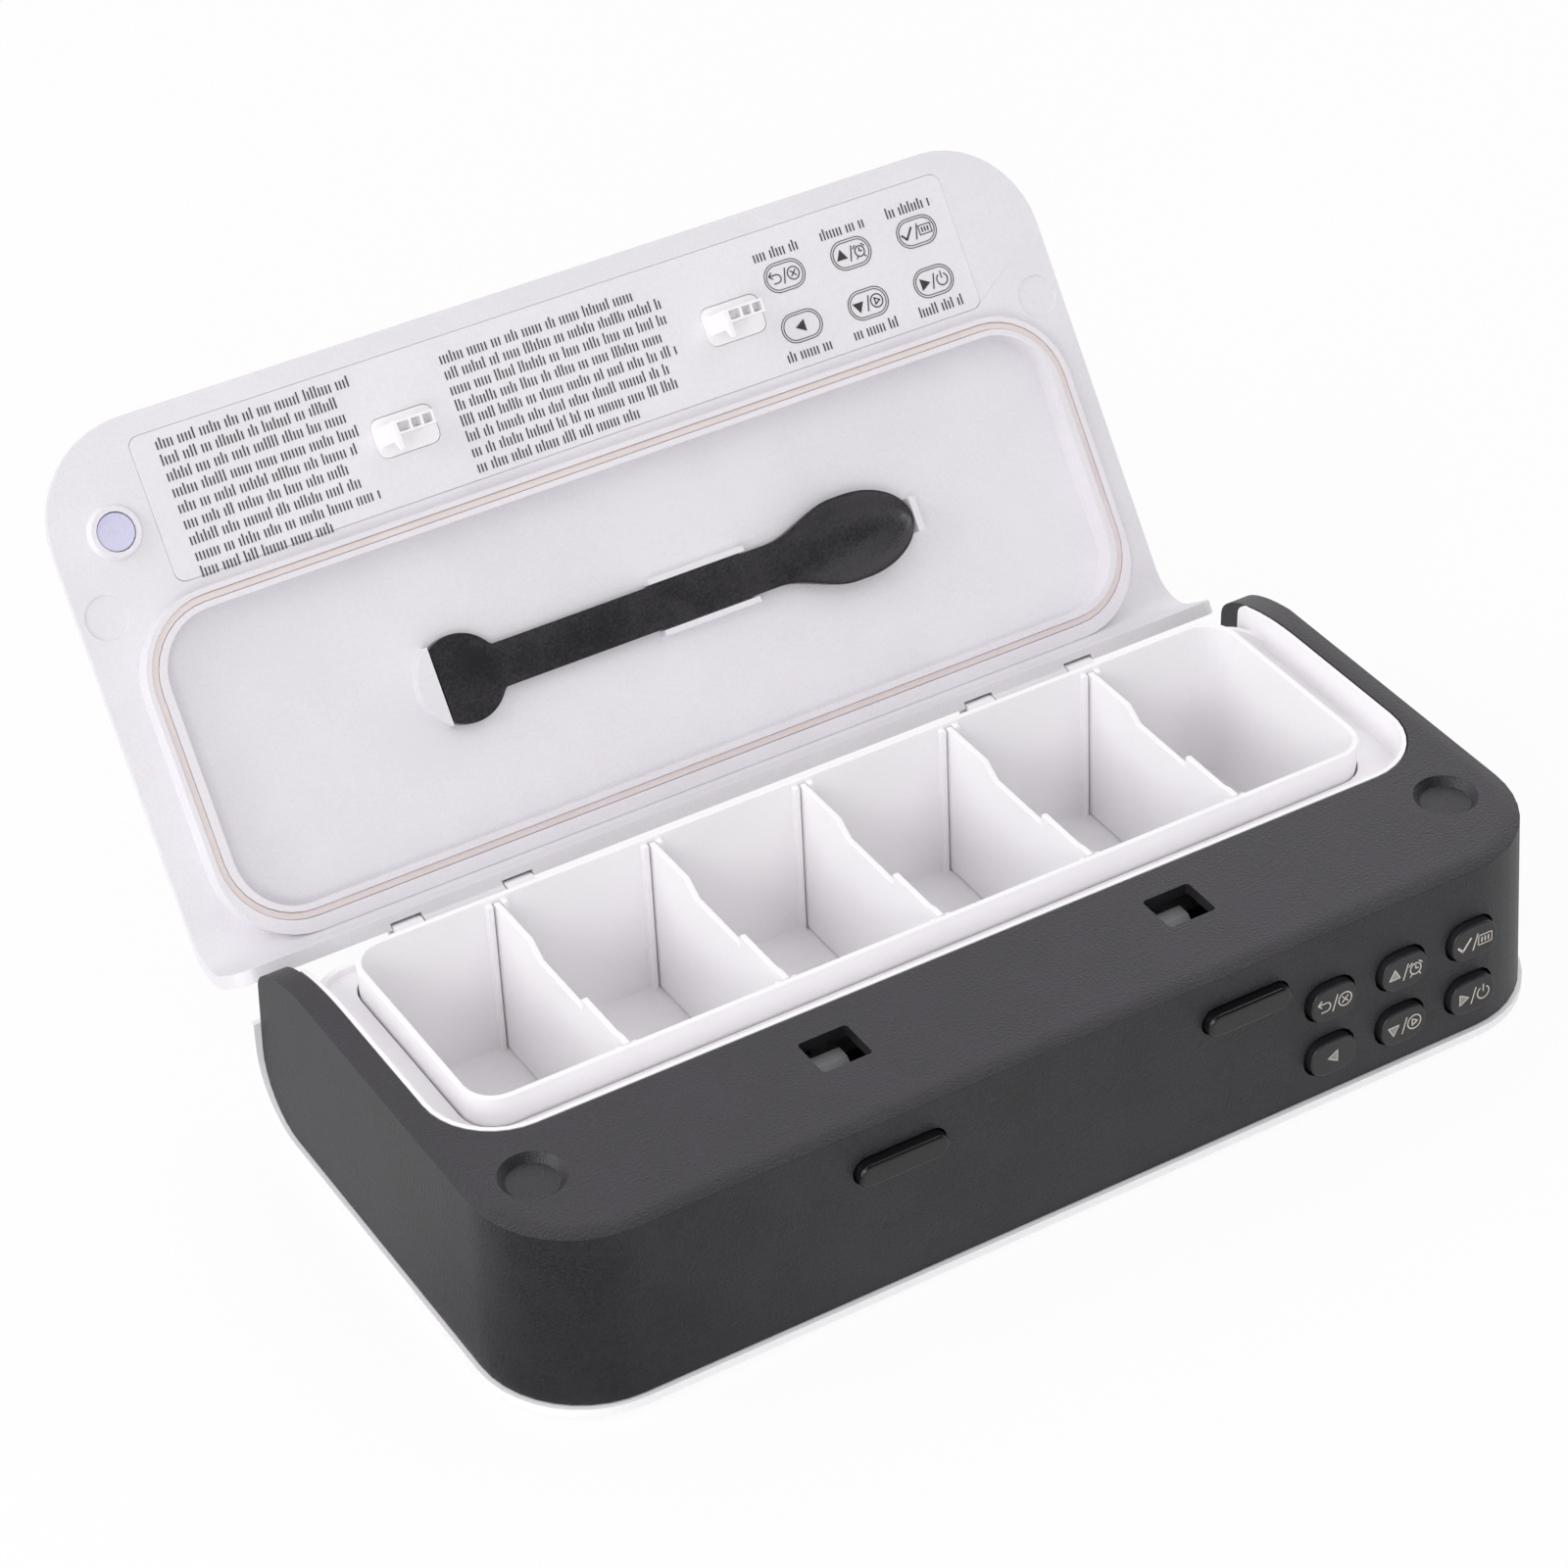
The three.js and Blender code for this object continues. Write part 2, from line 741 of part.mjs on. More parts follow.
// White lower case with its rim, posts, screw holes, foot pockets and hinge lugs.
function basePlate() {
  const outset = -base.proud;
  const rearOuter = rearY + base.rearWall + seatGap;
  const lowY = rearY - shell.rearLowRadius;
  const innerRadius = shell.rearLowRadius + seatGap;
  const outerRadius = rearOuter - lowY;
  const innerCentre = shell.partingHeight + shell.rearLowRadius;
  const plan = (inset, rear, steps) => casePlan(shell.partingHeight, outset + inset, rear, steps);
  const rearTop = hingeZ - base.rearDrop;
  const outer = loft([
    { points: plan(base.chamfer), z: 0 },
    { points: plan(0), z: base.chamfer },
    { points: plan(0), z: rearTop + overrun },
  ]);
  const farFront = frontEdgeY - shell.cornerRadius;
  const profile = [
    new THREE.Vector2(farFront, -overrun),
    new THREE.Vector2(lowY, -overrun),
    ...arcPoints(lowY, outerRadius, outerRadius, -quarterTurn, 0, 8),
    new THREE.Vector2(rearOuter, rearTop),
    new THREE.Vector2(lowY + innerRadius, rearTop),
    ...arcPoints(lowY, innerCentre, innerRadius, 0, -quarterTurn, 8),
    new THREE.Vector2(farFront, baseTop),
  ];
  let body = outer.intersect(runX(profile, -shell.length, shell.length));
  const pocketInset = base.proud + shell.wall;
  const rimOuter = pocketInset + base.rimClearance;
  const rimInner = rimOuter + base.rimThickness;
  const pocket = prism(plan(pocketInset, rearY - base.pocketRearInset, 6), base.floor, baseTop + overrun);
  body = cut(body, pocket);
  const rimTop = base.floor + base.rimHeight;
  const rimEnd = rearY - base.rimRearInset;
  const rim = cut(
    prism(plan(rimOuter, rimEnd, 6), base.floor - overrun / 2, rimTop),
    prism(plan(rimInner, rimEnd + overrun, 6), base.floor - overrun, rimTop + overrun),
  );
  body = join(body, rim, ...boardPosts(), ...keyBoardRibs(), ...hingeLugs(rearOuter));
  for (const side of [-1, 1]) {
    for (const [x, y] of caseScrewPlaces(side)) {
      body = join(body, post(x, y, caseScrew.postRadius, base.floor / 2, caseScrew.postTop, 14));
      body = cut(body, post(x, y, caseScrew.clearRadius, -overrun, caseScrew.postTop + overrun, 10));
      body = cut(body, post(x, y, caseScrew.counterRadius, -overrun, caseScrew.counterDepth, 16));
    }
    for (const y of [footFrontY, footRearY]) {
      body = cut(body, post(side * footX, y, foot.pocketRadius, -overrun, foot.pocketDepth, 20));
    }
  }
  return body;
}

function screwCorners() {
  const columns = [mainBoardLeftX + mainBoard.screwInset, mainBoardRightX - mainBoard.screwInset];
  const rows = [mainBoardFrontY + mainBoard.screwInset, mainBoardRearY - mainBoard.screwInset];
  return columns.flatMap((x) => rows.map((y) => [x, y]));
}

// Posts under the main board and the charge board.
function boardPosts() {
  const top = mainBoard.bottom - seatGap;
  const posts = screwCorners().map(([x, y]) => {
    const stem = post(x, y, boardScrew.postRadius, base.floor / 2, top, 12);
    return cut(stem, post(x, y, boardScrew.holeRadius, base.floor, top + overrun, 8));
  });
  const x = chargeBoardInnerX + chargeBoard.postInset;
  for (const y of [chargeBoardFrontY + chargeBoard.postInset, chargeBoardRearY - chargeBoard.postInset]) {
    posts.push(post(x, y, chargeBoard.postRadius, base.floor / 2, chargeBoard.bottom - seatGap, 10));
  }
  return posts;
}

// Ribs on both sides of the upright key board.
function keyBoardRibs() {
  const top = base.floor + keyBoardRib.height;
  const near = keyBoardFrontY - seatGap;
  const far = keyBoardRearY + seatGap;
  const ribs = [];
  for (const x of [keyBoardLeftX, keyBoardRightX - keyBoardRib.width]) {
    const end = x + keyBoardRib.width;
    ribs.push(block(x, end, near - keyBoardRib.wall, near, base.floor / 2, top));
    ribs.push(block(x, end, far, far + keyBoardRib.wall, base.floor / 2, top));
  }
  return ribs;
}

// Places of the hinge's parts along X, on one side.
const knuckleStart = hingeX - hinge.knuckleLength / 2;
const knuckleEnd = hingeX + hinge.knuckleLength / 2;
const lugRanges = [
  [knuckleStart - hinge.gap - hinge.lugLength, knuckleStart - hinge.gap],
  [knuckleEnd + hinge.gap, knuckleEnd + hinge.gap + hinge.lugLength],
];

function sided(side, [from, to]) {
  return side > 0 ? [from, to] : [-to, -from];
}

function hingeLugs(wallY) {
  const lugs = [];
  const webTop = hingeZ - hinge.webDrop;
  for (const side of [-1, 1]) {
    for (const range of lugRanges) {
      const [x0, x1] = sided(side, range);
      const web = [
        new THREE.Vector2(wallY - base.rearWall / 2, webTop - hinge.webDepth),
        new THREE.Vector2(hingeY, hingeZ - hinge.barrelRadius),
        new THREE.Vector2(hingeY, webTop),
        new THREE.Vector2(wallY - base.rearWall / 2, webTop),
      ];
      const lug = join(rodX(hingeY, hingeZ, hinge.barrelRadius, x0, x1), runX(web, x0, x1));
      lugs.push(cut(lug, rodX(hingeY, hingeZ, hinge.boreRadius, x0 - overrun, x1 + overrun, 12)));
    }
  }
  return lugs;
}

function hingePin(side) {
  const from = lugRanges[0][0] + hinge.pinInset;
  const to = lugRanges[1][1] - hinge.pinInset;
  const [x0, x1] = sided(side, [from, to]);
  return rodX(0, 0, hinge.pinRadius, x0, x1, 12);
}

function rubberFoot() {
  const chamfer = foot.height / 4;
  const { radius, height } = foot;
  const profile = [[0, 0], [radius - chamfer, 0], [radius, chamfer], [radius, height], [0, height]];
  const body = new THREE.LatheGeometry(profile.map(([x, y]) => new THREE.Vector2(x, y)), 20);
  return solid(body.rotateX(quarterTurn));
}

function caseScrewBody() {
  const shoulder = caseScrew.headInset + caseScrew.headHeight;
  const head = post(0, 0, caseScrew.headRadius, caseScrew.headInset, shoulder, 14);
  const shaft = post(0, 0, caseScrew.shaftRadius, shoulder - caseScrew.headHeight / 2, caseScrewTip, 8);
  const reach = caseScrew.shaftRadius;
  const driveTop = caseScrew.headInset + caseScrew.headHeight / 2;
  const bar = block(-reach, reach, -reach / 3, reach / 3, 0, driveTop);
  const crossBar = block(-reach / 3, reach / 3, -reach, reach, 0, driveTop);
  return cut(join(head, shaft), bar, crossBar);
}

// White liner of the well: thin rim, ledge and the pocket for the tray.
function wellLiner() {
  const outerX = wellHalf - liner.gap;
  const innerX = outerX - liner.rimThickness;
  const front = wellFrontY + liner.gap;
  const outerRadius = well.cornerRadius - liner.gap;
  const innerRadius = outerRadius - liner.rimThickness;
  const outerPlan = roundedOutline(-outerX, outerX, front, linerEndY, [outerRadius, outerRadius, 0, 0], 9);
  const innerFront = front + liner.rimThickness;
  const innerRadii = [innerRadius, innerRadius, 0, 0];
  const innerPlan = roundedOutline(-innerX, innerX, innerFront, rearY + overrun, innerRadii, 9);
  const endRadius = liner.endTopRadius;
  const fallingTop = rearTopCurve(linerEndY - endRadius, 8);
  const endCentreZ = fallingTop[0].y - endRadius;
  const wallProfile = [
    new THREE.Vector2(front - overrun, ledgeBottom),
    new THREE.Vector2(linerEndY, ledgeBottom),
    ...arcPoints(linerEndY - endRadius, endCentreZ, endRadius, 0, quarterTurn, 6).slice(0, -1),
    ...fallingTop,
    new THREE.Vector2(front - overrun, topZ),
  ];
  const below = ledgeBottom - overrun;
  const walls = cut(prism(outerPlan, ledgeBottom, topZ), prism(innerPlan, below, topZ + overrun));
  const rim = walls.intersect(runX(wallProfile, -shell.length, shell.length));
  const rearRadius = liner.ledgeRearRadius;
  const ledgeRadii = [outerRadius, outerRadius, rearRadius, rearRadius];
  const ledgePlan = roundedOutline(-outerX, outerX, front, ledgeRearY, ledgeRadii, 9);
  const inset = liner.lipThickness;
  const lipRadii = ledgeRadii.map((radius) => radius - inset);
  const [lipX, lipFront, lipRearY] = [outerX - inset, front + inset, ledgeRearY - inset];
  const lipInner = roundedOutline(-lipX, lipX, lipFront, lipRearY, lipRadii, 9);
  const lip = cut(prism(ledgePlan, ledgeBottom, lipTop), prism(lipInner, below, lipTop + overrun));
  const lipRear = lip.intersect(block(-outerX, outerX, ledgeRearY - rearRadius, rearY, ledgeBottom, lipTop));
  const apronX = outerX - rearRadius / 2;
  const apronFront = trayRearY + tray.sideGap;
  const apronRear = apronFront + liner.pocketWall;
  const apron = block(-apronX, apronX, apronFront, apronRear, liner.apronBottom, ledgeTop);
  const body = join(rim, prism(ledgePlan, ledgeBottom, ledgeTop), lipRear, trayLoft(pocketOuter), apron);
  return cut(body, trayLoft(pocketInner));
}

// The pocket follows the tray's drafted sides at a fixed gap.
const pocketFloorZ = tray.bottom - seatGap;
const pocketInner = { margin: tray.sideGap, bottom: pocketFloorZ, top: shell.edgeHeight + overrun };
const pocketOuter = {
  margin: tray.sideGap + liner.pocketWall,
  bottom: pocketFloorZ - liner.pocketFloor,
  top: ledgeTop - liner.ledgeThickness / 2,
};

function trayLoft({ margin, bottom, top }) {
  const plan = (z) => {
    const grow = margin - traySlope * (trayTop - z);
    const radius = tray.cornerRadius + grow;
    const halfX = trayHalfLength + grow;
    return roundedOutline(-halfX, halfX, trayFrontY - grow, trayRearY + grow, Array(4).fill(radius), 6);
  };
  return loft([{ points: plan(bottom), z: bottom }, { points: plan(top), z: top }]);
}

// Lift-out tray with pairs of guide ribs for the dividers.
function pillTray() {
  const cavity = { margin: -tray.wall, bottom: tray.bottom + tray.floor, top: trayTop + overrun };
  const guideTop = trayTop - divider.topDrop;
  const inside = trayLoft({ margin: -tray.wall / 2, bottom: tray.bottom + tray.floor / 2, top: guideTop });
  let body = cut(trayLoft({ margin: 0, bottom: tray.bottom, top: trayTop }), trayLoft(cavity));
  const slotHalf = divider.thickness / 2 + divider.sideGap;
  const reach = tray.wall + tray.guideDepth;
  for (const x of dividerPlaces) {
    for (const from of [x + slotHalf, x - slotHalf - tray.guideWidth]) {
      for (const [edge, inwards] of [[trayFrontY, 1], [trayRearY, -1]]) {
        const ribFoot = edge + inwards * tray.draft;
        const ribHead = edge + inwards * (reach + traySlope * divider.topDrop);
        const rib = [
          new THREE.Vector2(ribFoot, tray.bottom),
          new THREE.Vector2(ribFoot + inwards * reach, tray.bottom),
          new THREE.Vector2(ribHead, guideTop),
          new THREE.Vector2(edge, guideTop),
        ];
        const points = inwards > 0 ? rib : rib.reverse();
        body = join(body, runX(points, from, from + tray.guideWidth).intersect(inside));
      }
    }
  }
  return body;
}

// Divider with a dip in its top edge for the spoon.
function dividerPlate() {
  const bottom = tray.bottom + tray.floor + seatGap;
  const top = trayTop - divider.topDrop;
  const low = top - divider.dipDepth;
  const spoonY = hingeY - spoonU;
  const dipRearY = spoonY + divider.dipRear;
  const edge = (z) => tray.wall + divider.sideGap + traySlope * (trayTop - z);
  const nubStart = trayFrontY + edge(top);
  const nubEnd = nubStart + tray.guideDepth + divider.nubLength;
  const profile = [
    [trayFrontY + edge(bottom), bottom],
    [trayRearY - edge(bottom), bottom],
    [trayRearY - edge(top), top],
    [dipRearY + divider.dipSlope, top],
    [dipRearY, low],
    [spoonY - divider.dipFront, low],
    [spoonY - divider.dipFront, top],
    [nubEnd, top],
    [nubEnd - divider.nubLength / 2, top + divider.nubHeight],
    [nubStart, top + divider.nubHeight],
  ];
  const half = divider.thickness / 2;
  return runX(profile.map(([y, z]) => new THREE.Vector2(y, z)), -half, half);
}

// Latch button: bar, plate behind the wall, two rails and a cross bar round the hook's window.
function latchButton() {
  const plateMiddleY = (plateFrontY + plateRearY) / 2;
  const outline = (margin) => buttonOutline(0, margin);
  const cap = pressCap(outline, frontY(buttonZ) - button.proud, plateMiddleY, button.edgeRound);
  const plateHalf = button.plateHalfWidth;
  const plate = block(-plateHalf, plateHalf, plateFrontY, plateRearY, plateBottom, plateTop);
  const { railOuter, railInner } = button;
  const rails = [[-railOuter, -railInner], [railInner, railOuter]].map(([a, b]) => (
    block(a, b, plateMiddleY, barRearY, railBottom, railTop)));
  const bar = block(-railOuter, railOuter, barFrontY, barRearY, railBottom, railTop);
  const catchY = barFrontY + catchBlock.depth / 2;
  const { pegHoleRadius, pegLength } = catchBlock;
  const pegHole = post(0, catchY, pegHoleRadius, railTop - pegLength, railTop + overrun, 16);
  return cut(join(cap, plate, ...rails, bar), pegHole);
}

// Grey catch on the cross bar, with a sloped front edge.
function latchCatch() {
  const { left, right, depth, height, slope, pegRadius, pegLength } = catchBlock;
  const bottom = railTop + seatGap;
  const top = bottom + height;
  const profile = [
    [barFrontY, bottom],
    [barFrontY + depth, bottom],
    [barFrontY + depth, top],
    [barFrontY + slope, top],
    [barFrontY, top - slope],
  ];
  const head = runX(profile.map(([y, z]) => new THREE.Vector2(y, z)), -left, right);
  const pegBottom = railTop - pegLength + seatGap;
  return join(head, post(0, barFrontY + depth / 2, pegRadius, pegBottom, bottom + height / 2, 12));
}

// Return spring between the cross bar and the liner's pocket.
class Coil extends THREE.Curve {
  constructor(from, to) {
    super();
    this.from = from;
    this.to = to;
  }

  getPoint(t, target = new THREE.Vector3()) {
    const angle = 4 * quarterTurn * spring.turns * t;
    const y = this.from + (this.to - this.from) * t;
    return target.set(spring.coilRadius * Math.cos(angle), y, spring.coilRadius * Math.sin(angle));
  }
}

function latchSpring() {
  const { coilRadius, wireRadius, wireSides, turns, stepsPerTurn } = spring;
  const from = barRearY + seatGap + wireRadius;
  const coilTop = springZ + coilRadius;
  const pocketFront = trayFrontY - pocketOuter.margin + traySlope * (trayTop - coilTop);
  const to = pocketFront - seatGap - wireRadius;
  const wire = Array.from({ length: wireSides }, (_, i) => {
    const angle = (4 * quarterTurn * i) / wireSides;
    return new THREE.Vector2(wireRadius * Math.cos(angle), wireRadius * Math.sin(angle));
  });
  const path = new Coil(from, to);
  const options = { steps: turns * stepsPerTurn, bevelEnabled: false, extrudePath: path };
  return solid(new THREE.ExtrudeGeometry(new THREE.Shape(wire), options));
}

// Keys on the leaning front wall: three columns and two rows.
const keyNames = [
  ['key_return', 'key_up', 'key_ok'],
  ['key_left', 'key_down', 'key_right'],
];
const keyPlaces = keyNames.flatMap((row, j) => row.map((name, i) => (
  { name, x: firstKeyX + i * key.pitchX, z: j === 0 ? upperKeyZ : lowerKeyZ })));

function keyOutline(sideMargin, endMargin) {
  const halfWidth = key.width / 2 + sideMargin;
  const halfHeight = key.height / 2 + endMargin;
  const radius = key.cornerRadius + Math.min(sideMargin, endMargin);
  return roundedOutline(-halfWidth, halfWidth, -halfHeight, halfHeight, Array(4).fill(radius), 4);
}

function onFront(body, x, z) {
  return body.rotate([-THREE.MathUtils.radToDeg(leanAngle), 0, 0]).translate([x, frontY(z), z]);
}

function keyHole(x, z) {
  return onFront(runY(keyOutline(key.holeGap, key.holeGap), -overrun, shell.wall + overrun), x, z);
}

// Key in its own frame: +Y runs into the case, square to the wall.
function keyCap(z) {
  const flangeFront = shell.wall + key.flangeGap;
  const flangeRear = flangeFront + key.flangeThickness;
  const stemEnd = (switchFrontY - key.travelGap - frontY(z)) / Math.cos(leanAngle);
  const outline = (margin) => keyOutline(margin, margin);
  const cap = pressCap(outline, -key.proud, flangeFront + key.flangeThickness / 2, key.edgeRound);
  const flange = runY(keyOutline(0, key.flangeMargin), flangeFront, flangeRear);
  return join(cap, flange, rodY(0, 0, key.stemRadius, flangeRear - key.flangeThickness / 2, stemEnd, 8));
}

function keyBoardPlate() {
  const [bottom, top] = [base.floor + seatGap, shell.edgeHeight - keyBoard.topInset];
  return block(keyBoardLeftX, keyBoardRightX, keyBoardFrontY, keyBoardRearY, bottom, top);
}

function tactSwitch(z) {
  const half = tact.size / 2;
  const rear = keyBoardFrontY - seatGap;
  const stemZ = z - (switchFrontY - frontY(z)) * leanSlope;
  const body = block(-half, half, rear - tact.bodyDepth, rear, stemZ - half, stemZ + half);
  return join(body, rodY(0, stemZ, tact.buttonRadius, switchFrontY, rear - tact.bodyDepth / 2, 10));
}

// Main board with holes for its screws.
function mainBoardPlate() {
  const [left, right, front, rear] = [mainBoardLeftX, mainBoardRightX, mainBoardFrontY, mainBoardRearY];
  const plate = block(left, right, front, rear, mainBoard.bottom, mainBoardTop);
  const holeTop = mainBoardTop + overrun;
  return cut(plate, ...screwCorners().map(([x, y]) => post(x, y, boardScrew.holeRadius, 0, holeTop, 8)));
}

function boardScrewBody() {
  const seat = mainBoardTop + seatGap;
  return join(
    post(0, 0, boardScrew.headRadius, seat, seat + boardScrew.headHeight, 12),
    post(0, 0, boardScrew.shaftRadius, seat - boardScrew.length, seat + boardScrew.headHeight / 2, 8),
  );
}

function displayModule() {
  const halfWidth = latchX - button.railOuter - seatGap - runner.thickness - display.runnerGap;
  const rear = frontEdgeY + display.setback;
  const top = shell.edgeHeight - display.topInset;
  return block(-halfWidth, halfWidth, rear - display.depth, rear, mainBoardTop + seatGap, top);
}

function buzzerCan() {
  const [x, y] = [mainBoardRightX - buzzer.sideInset, mainBoardRearY - buzzer.rearInset];
  const bottom = mainBoardTop + seatGap;
  const top = bottom + buzzer.height;
  const can = post(x, y, buzzer.radius, bottom, top);
  return cut(can, post(x, y, buzzer.holeRadius, top - buzzer.holeDepth, top + overrun, 12));
}

function batteryCell() {
  const bottom = base.floor + seatGap;
  const front = frontEdgeY + battery.frontInset;
  const rear = trayFrontY - battery.trayGap;
  const radii = Array(4).fill(battery.cornerRadius);
  const plan = roundedOutline(batteryLeftX, batteryRightX, front, rear, radii, 4);
  return prism(plan, bottom, bottom + battery.thickness);
}

function lidSensorBlock() {
  const [halfWidth, halfDepth] = [lidSensor.width / 2, lidSensor.depth / 2];
  const [x0, x1] = [-recessX - halfWidth, -recessX + halfWidth];
  const top = undersideZ - seatGap;
  return block(x0, x1, recessY - halfDepth, recessY + halfDepth, top - lidSensor.height, top);
}

function chargeBoardPlate() {
  const { bottom, thickness } = chargeBoard;
  const [front, rear] = [chargeBoardFrontY, chargeBoardRearY];
  return block(chargeBoardInnerX, chargeBoardOuterX, front, rear, bottom, bottom + thickness);
}

// Charging socket on the right side, with its tongue.
function portOutline(margin) {
  const [halfWidth, halfHeight] = [port.width / 2 + margin, port.height / 2 + margin];
  const [bottom, top] = [portZ - halfHeight, portZ + halfHeight];
  const radii = Array(4).fill(halfHeight);
  return roundedOutline(portY - halfWidth, portY + halfWidth, bottom, top, radii, 3);
}

function usbPort() {
  const mouthX = sideX(portZ) - port.inset;
  const rearX = mouthX - port.depth;
  const bore = runX(portOutline(-port.wall), rearX + port.wall, mouthX + overrun);
  const can = cut(runX(portOutline(0), rearX, mouthX), bore);
  const half = port.tongue / 2;
  const reach = (port.width - port.height) / 2;
  const tongueEnd = mouthX - port.height / 2;
  return join(can, block(rearX, tongueEnd, portY - reach, portY + reach, portZ - half, portZ + half));
}

function portHole() {
  const [from, to] = [halfLength - shell.wall - overrun, sideX(portZ) + overrun];
  return runX(portOutline(port.holeGap), from, to);
}

// Lid pieces are drawn closed about the hinge line: U runs to the free edge, W away from the case.
function lidPlan(x0, x1, u0, u1, radii, steps = 8) {
  return roundedOutline(x0, x1, -u1, -u0, radii, steps);
}

function profileUW(pairs) {
  return pairs.map(([u, w]) => new THREE.Vector2(-u, w));
}

const hookOuterRadius = lid.hookRadius + lid.thickness;
const flangeOuterU = lid.flangeU - lid.thickness;
const hookSteps = 9;

function lidSheet() {
  const centre = [-lid.flangeU - lid.hookRadius, lidInnerLevel - lid.hookRadius];
  const edgeU = lidReach + overrun;
  const profile = [
    ...arcPoints(...centre, hookOuterRadius, 0, quarterTurn, hookSteps),
    ...profileUW([[edgeU, lidOuterLevel], [edgeU, lidInnerLevel]]),
    ...arcPoints(...centre, lid.hookRadius, quarterTurn, 0, hookSteps),
    ...profileUW([[lid.flangeU, -lid.flangeDrop], [flangeOuterU, -lid.flangeDrop]]),
  ];
  const plan = (inset) => {
    const radius = lid.cornerRadius - inset;
    const halfX = lidHalfLength - inset;
    return lidPlan(-halfX, halfX, -overrun, lidReach - inset, [radius, radius, 0, 0], 10);
  };
  const roundShares = [[0, 0], [0.3, 0.7], [1, 1]];
  const roundStart = lidOuterLevel - lid.edgeRound;
  const levels = [{ points: plan(0), z: -lid.flangeDrop - overrun }];
  for (const [insetShare, riseShare] of roundShares) {
    levels.push({ points: plan(lid.edgeRound * insetShare), z: roundStart + lid.edgeRound * riseShare });
  }
  const corner = lid.flangeCorner;
  const [bottom, top] = [-lid.flangeDrop, lidOuterLevel + overrun];
  const ends = roundedOutline(-lidHalfLength, lidHalfLength, bottom, top, [corner, corner, 0, 0], 6);
  const sheet = runX(profile, -shell.length, shell.length).intersect(loft(levels));
  return sheet.intersect(runY(ends, -lidReach - overrun, overrun));
}

// Double ring rib with its groove and the sunk field inside.
function ringPlan(sideInset, rearInset, frontInset) {
  const x = ringHalfLength - sideInset;
  const radii = Array(4).fill(ring.cornerRadius - sideInset);
  return lidPlan(-x, x, ring.rearU + rearInset, ringFrontU - frontInset, radii, 9);
}

const groove = {
  outerInset: ring.outerWall,
  innerInset: ring.outerWall + ring.grooveWidth,
  floor: ridgeLevel + ring.grooveDepth,
};

function groovePlan(sideInset) {
  return ringPlan(sideInset, ring.rearWall + sideInset - ring.outerWall, sideInset);
}

const fieldPlan = ringPlan(
  groove.innerInset + ring.innerWall,
  ring.rearWall + ring.grooveWidth + ring.frontInnerWall,
  groove.innerInset + ring.frontInnerWall,
);

function lidRing() {
  const wall = prism(ringPlan(0, 0, 0), ridgeLevel, fieldLevel);
  return cut(wall, grooveBand(groove.outerInset, groove.innerInset, ridgeLevel - overrun, groove.floor));
}

function grooveBand(outerInset, innerInset, z0, z1) {
  const inner = prism(groovePlan(innerInset), z0 - overrun, z1 + overrun);
  return cut(prism(groovePlan(outerInset), z0, z1), inner);
}

function lidShell() {
  const above = lidInnerLevel - overrun;
  const bossTop = lidInnerLevel - magnet.bossHeight;
  const magnetFloor = bossTop + magnet.thickness + 2 * seatGap;
  let body = join(lidSheet(), lidRing());
  body = cut(body, prism(fieldPlan, ridgeLevel - overrun, fieldLevel));
  body = cut(body, prism(labelPlan(0), above, lidInnerLevel + label.pocketDepth));
  const bossRoot = lidInnerLevel + overrun / 2;
  const boss = taper(-recessX, -magnetU, magnet.bossTopRadius, magnet.bossRadius, bossTop, bossRoot, 28);
  body = join(body, boss);
  body = cut(body, post(-recessX, -magnetU, magnet.pocketRadius, bossTop - overrun, magnetFloor, 20));
  const markX = lidHalfLength - lidMark.endInset;
  const markU = lidReach - lidMark.frontInset;
  for (const side of [-1, 1]) {
    body = cut(body, post(side * markX, -markU, lidMark.radius, above, lidInnerLevel + lidMark.depth, 20));
    const platePlan = hookPlatePlan(side * latchX, seatGap);
    body = cut(body, prism(platePlan, above, lidInnerLevel + hook.pocketDepth));
  }
  body = join(body, ...spoonSeats(), ...knuckles());
  return cut(body, ...hingeCuts());
}

// Knuckles on the flange, and the room for the case's lugs and the pins.
function knuckles() {
  return [-1, 1].map((side) => rodX(0, 0, hinge.barrelRadius, ...sided(side, [knuckleStart, knuckleEnd])));
}

function hingeCuts() {
  const cuts = [];
  for (const side of [-1, 1]) {
    const [from, to] = sided(side, [knuckleStart - overrun, knuckleEnd + overrun]);
    cuts.push(rodX(0, 0, hinge.boreRadius, from, to, 12));
    for (const range of lugRanges) {
      const [a, b] = sided(side, [range[0] - hinge.gap, range[1] + hinge.gap]);
      const notchTop = hinge.barrelRadius + lid.notchMargin;
      cuts.push(block(a, b, -notchTop, 0, -lid.flangeDrop - overrun, notchTop));
    }
  }
  return cuts;
}

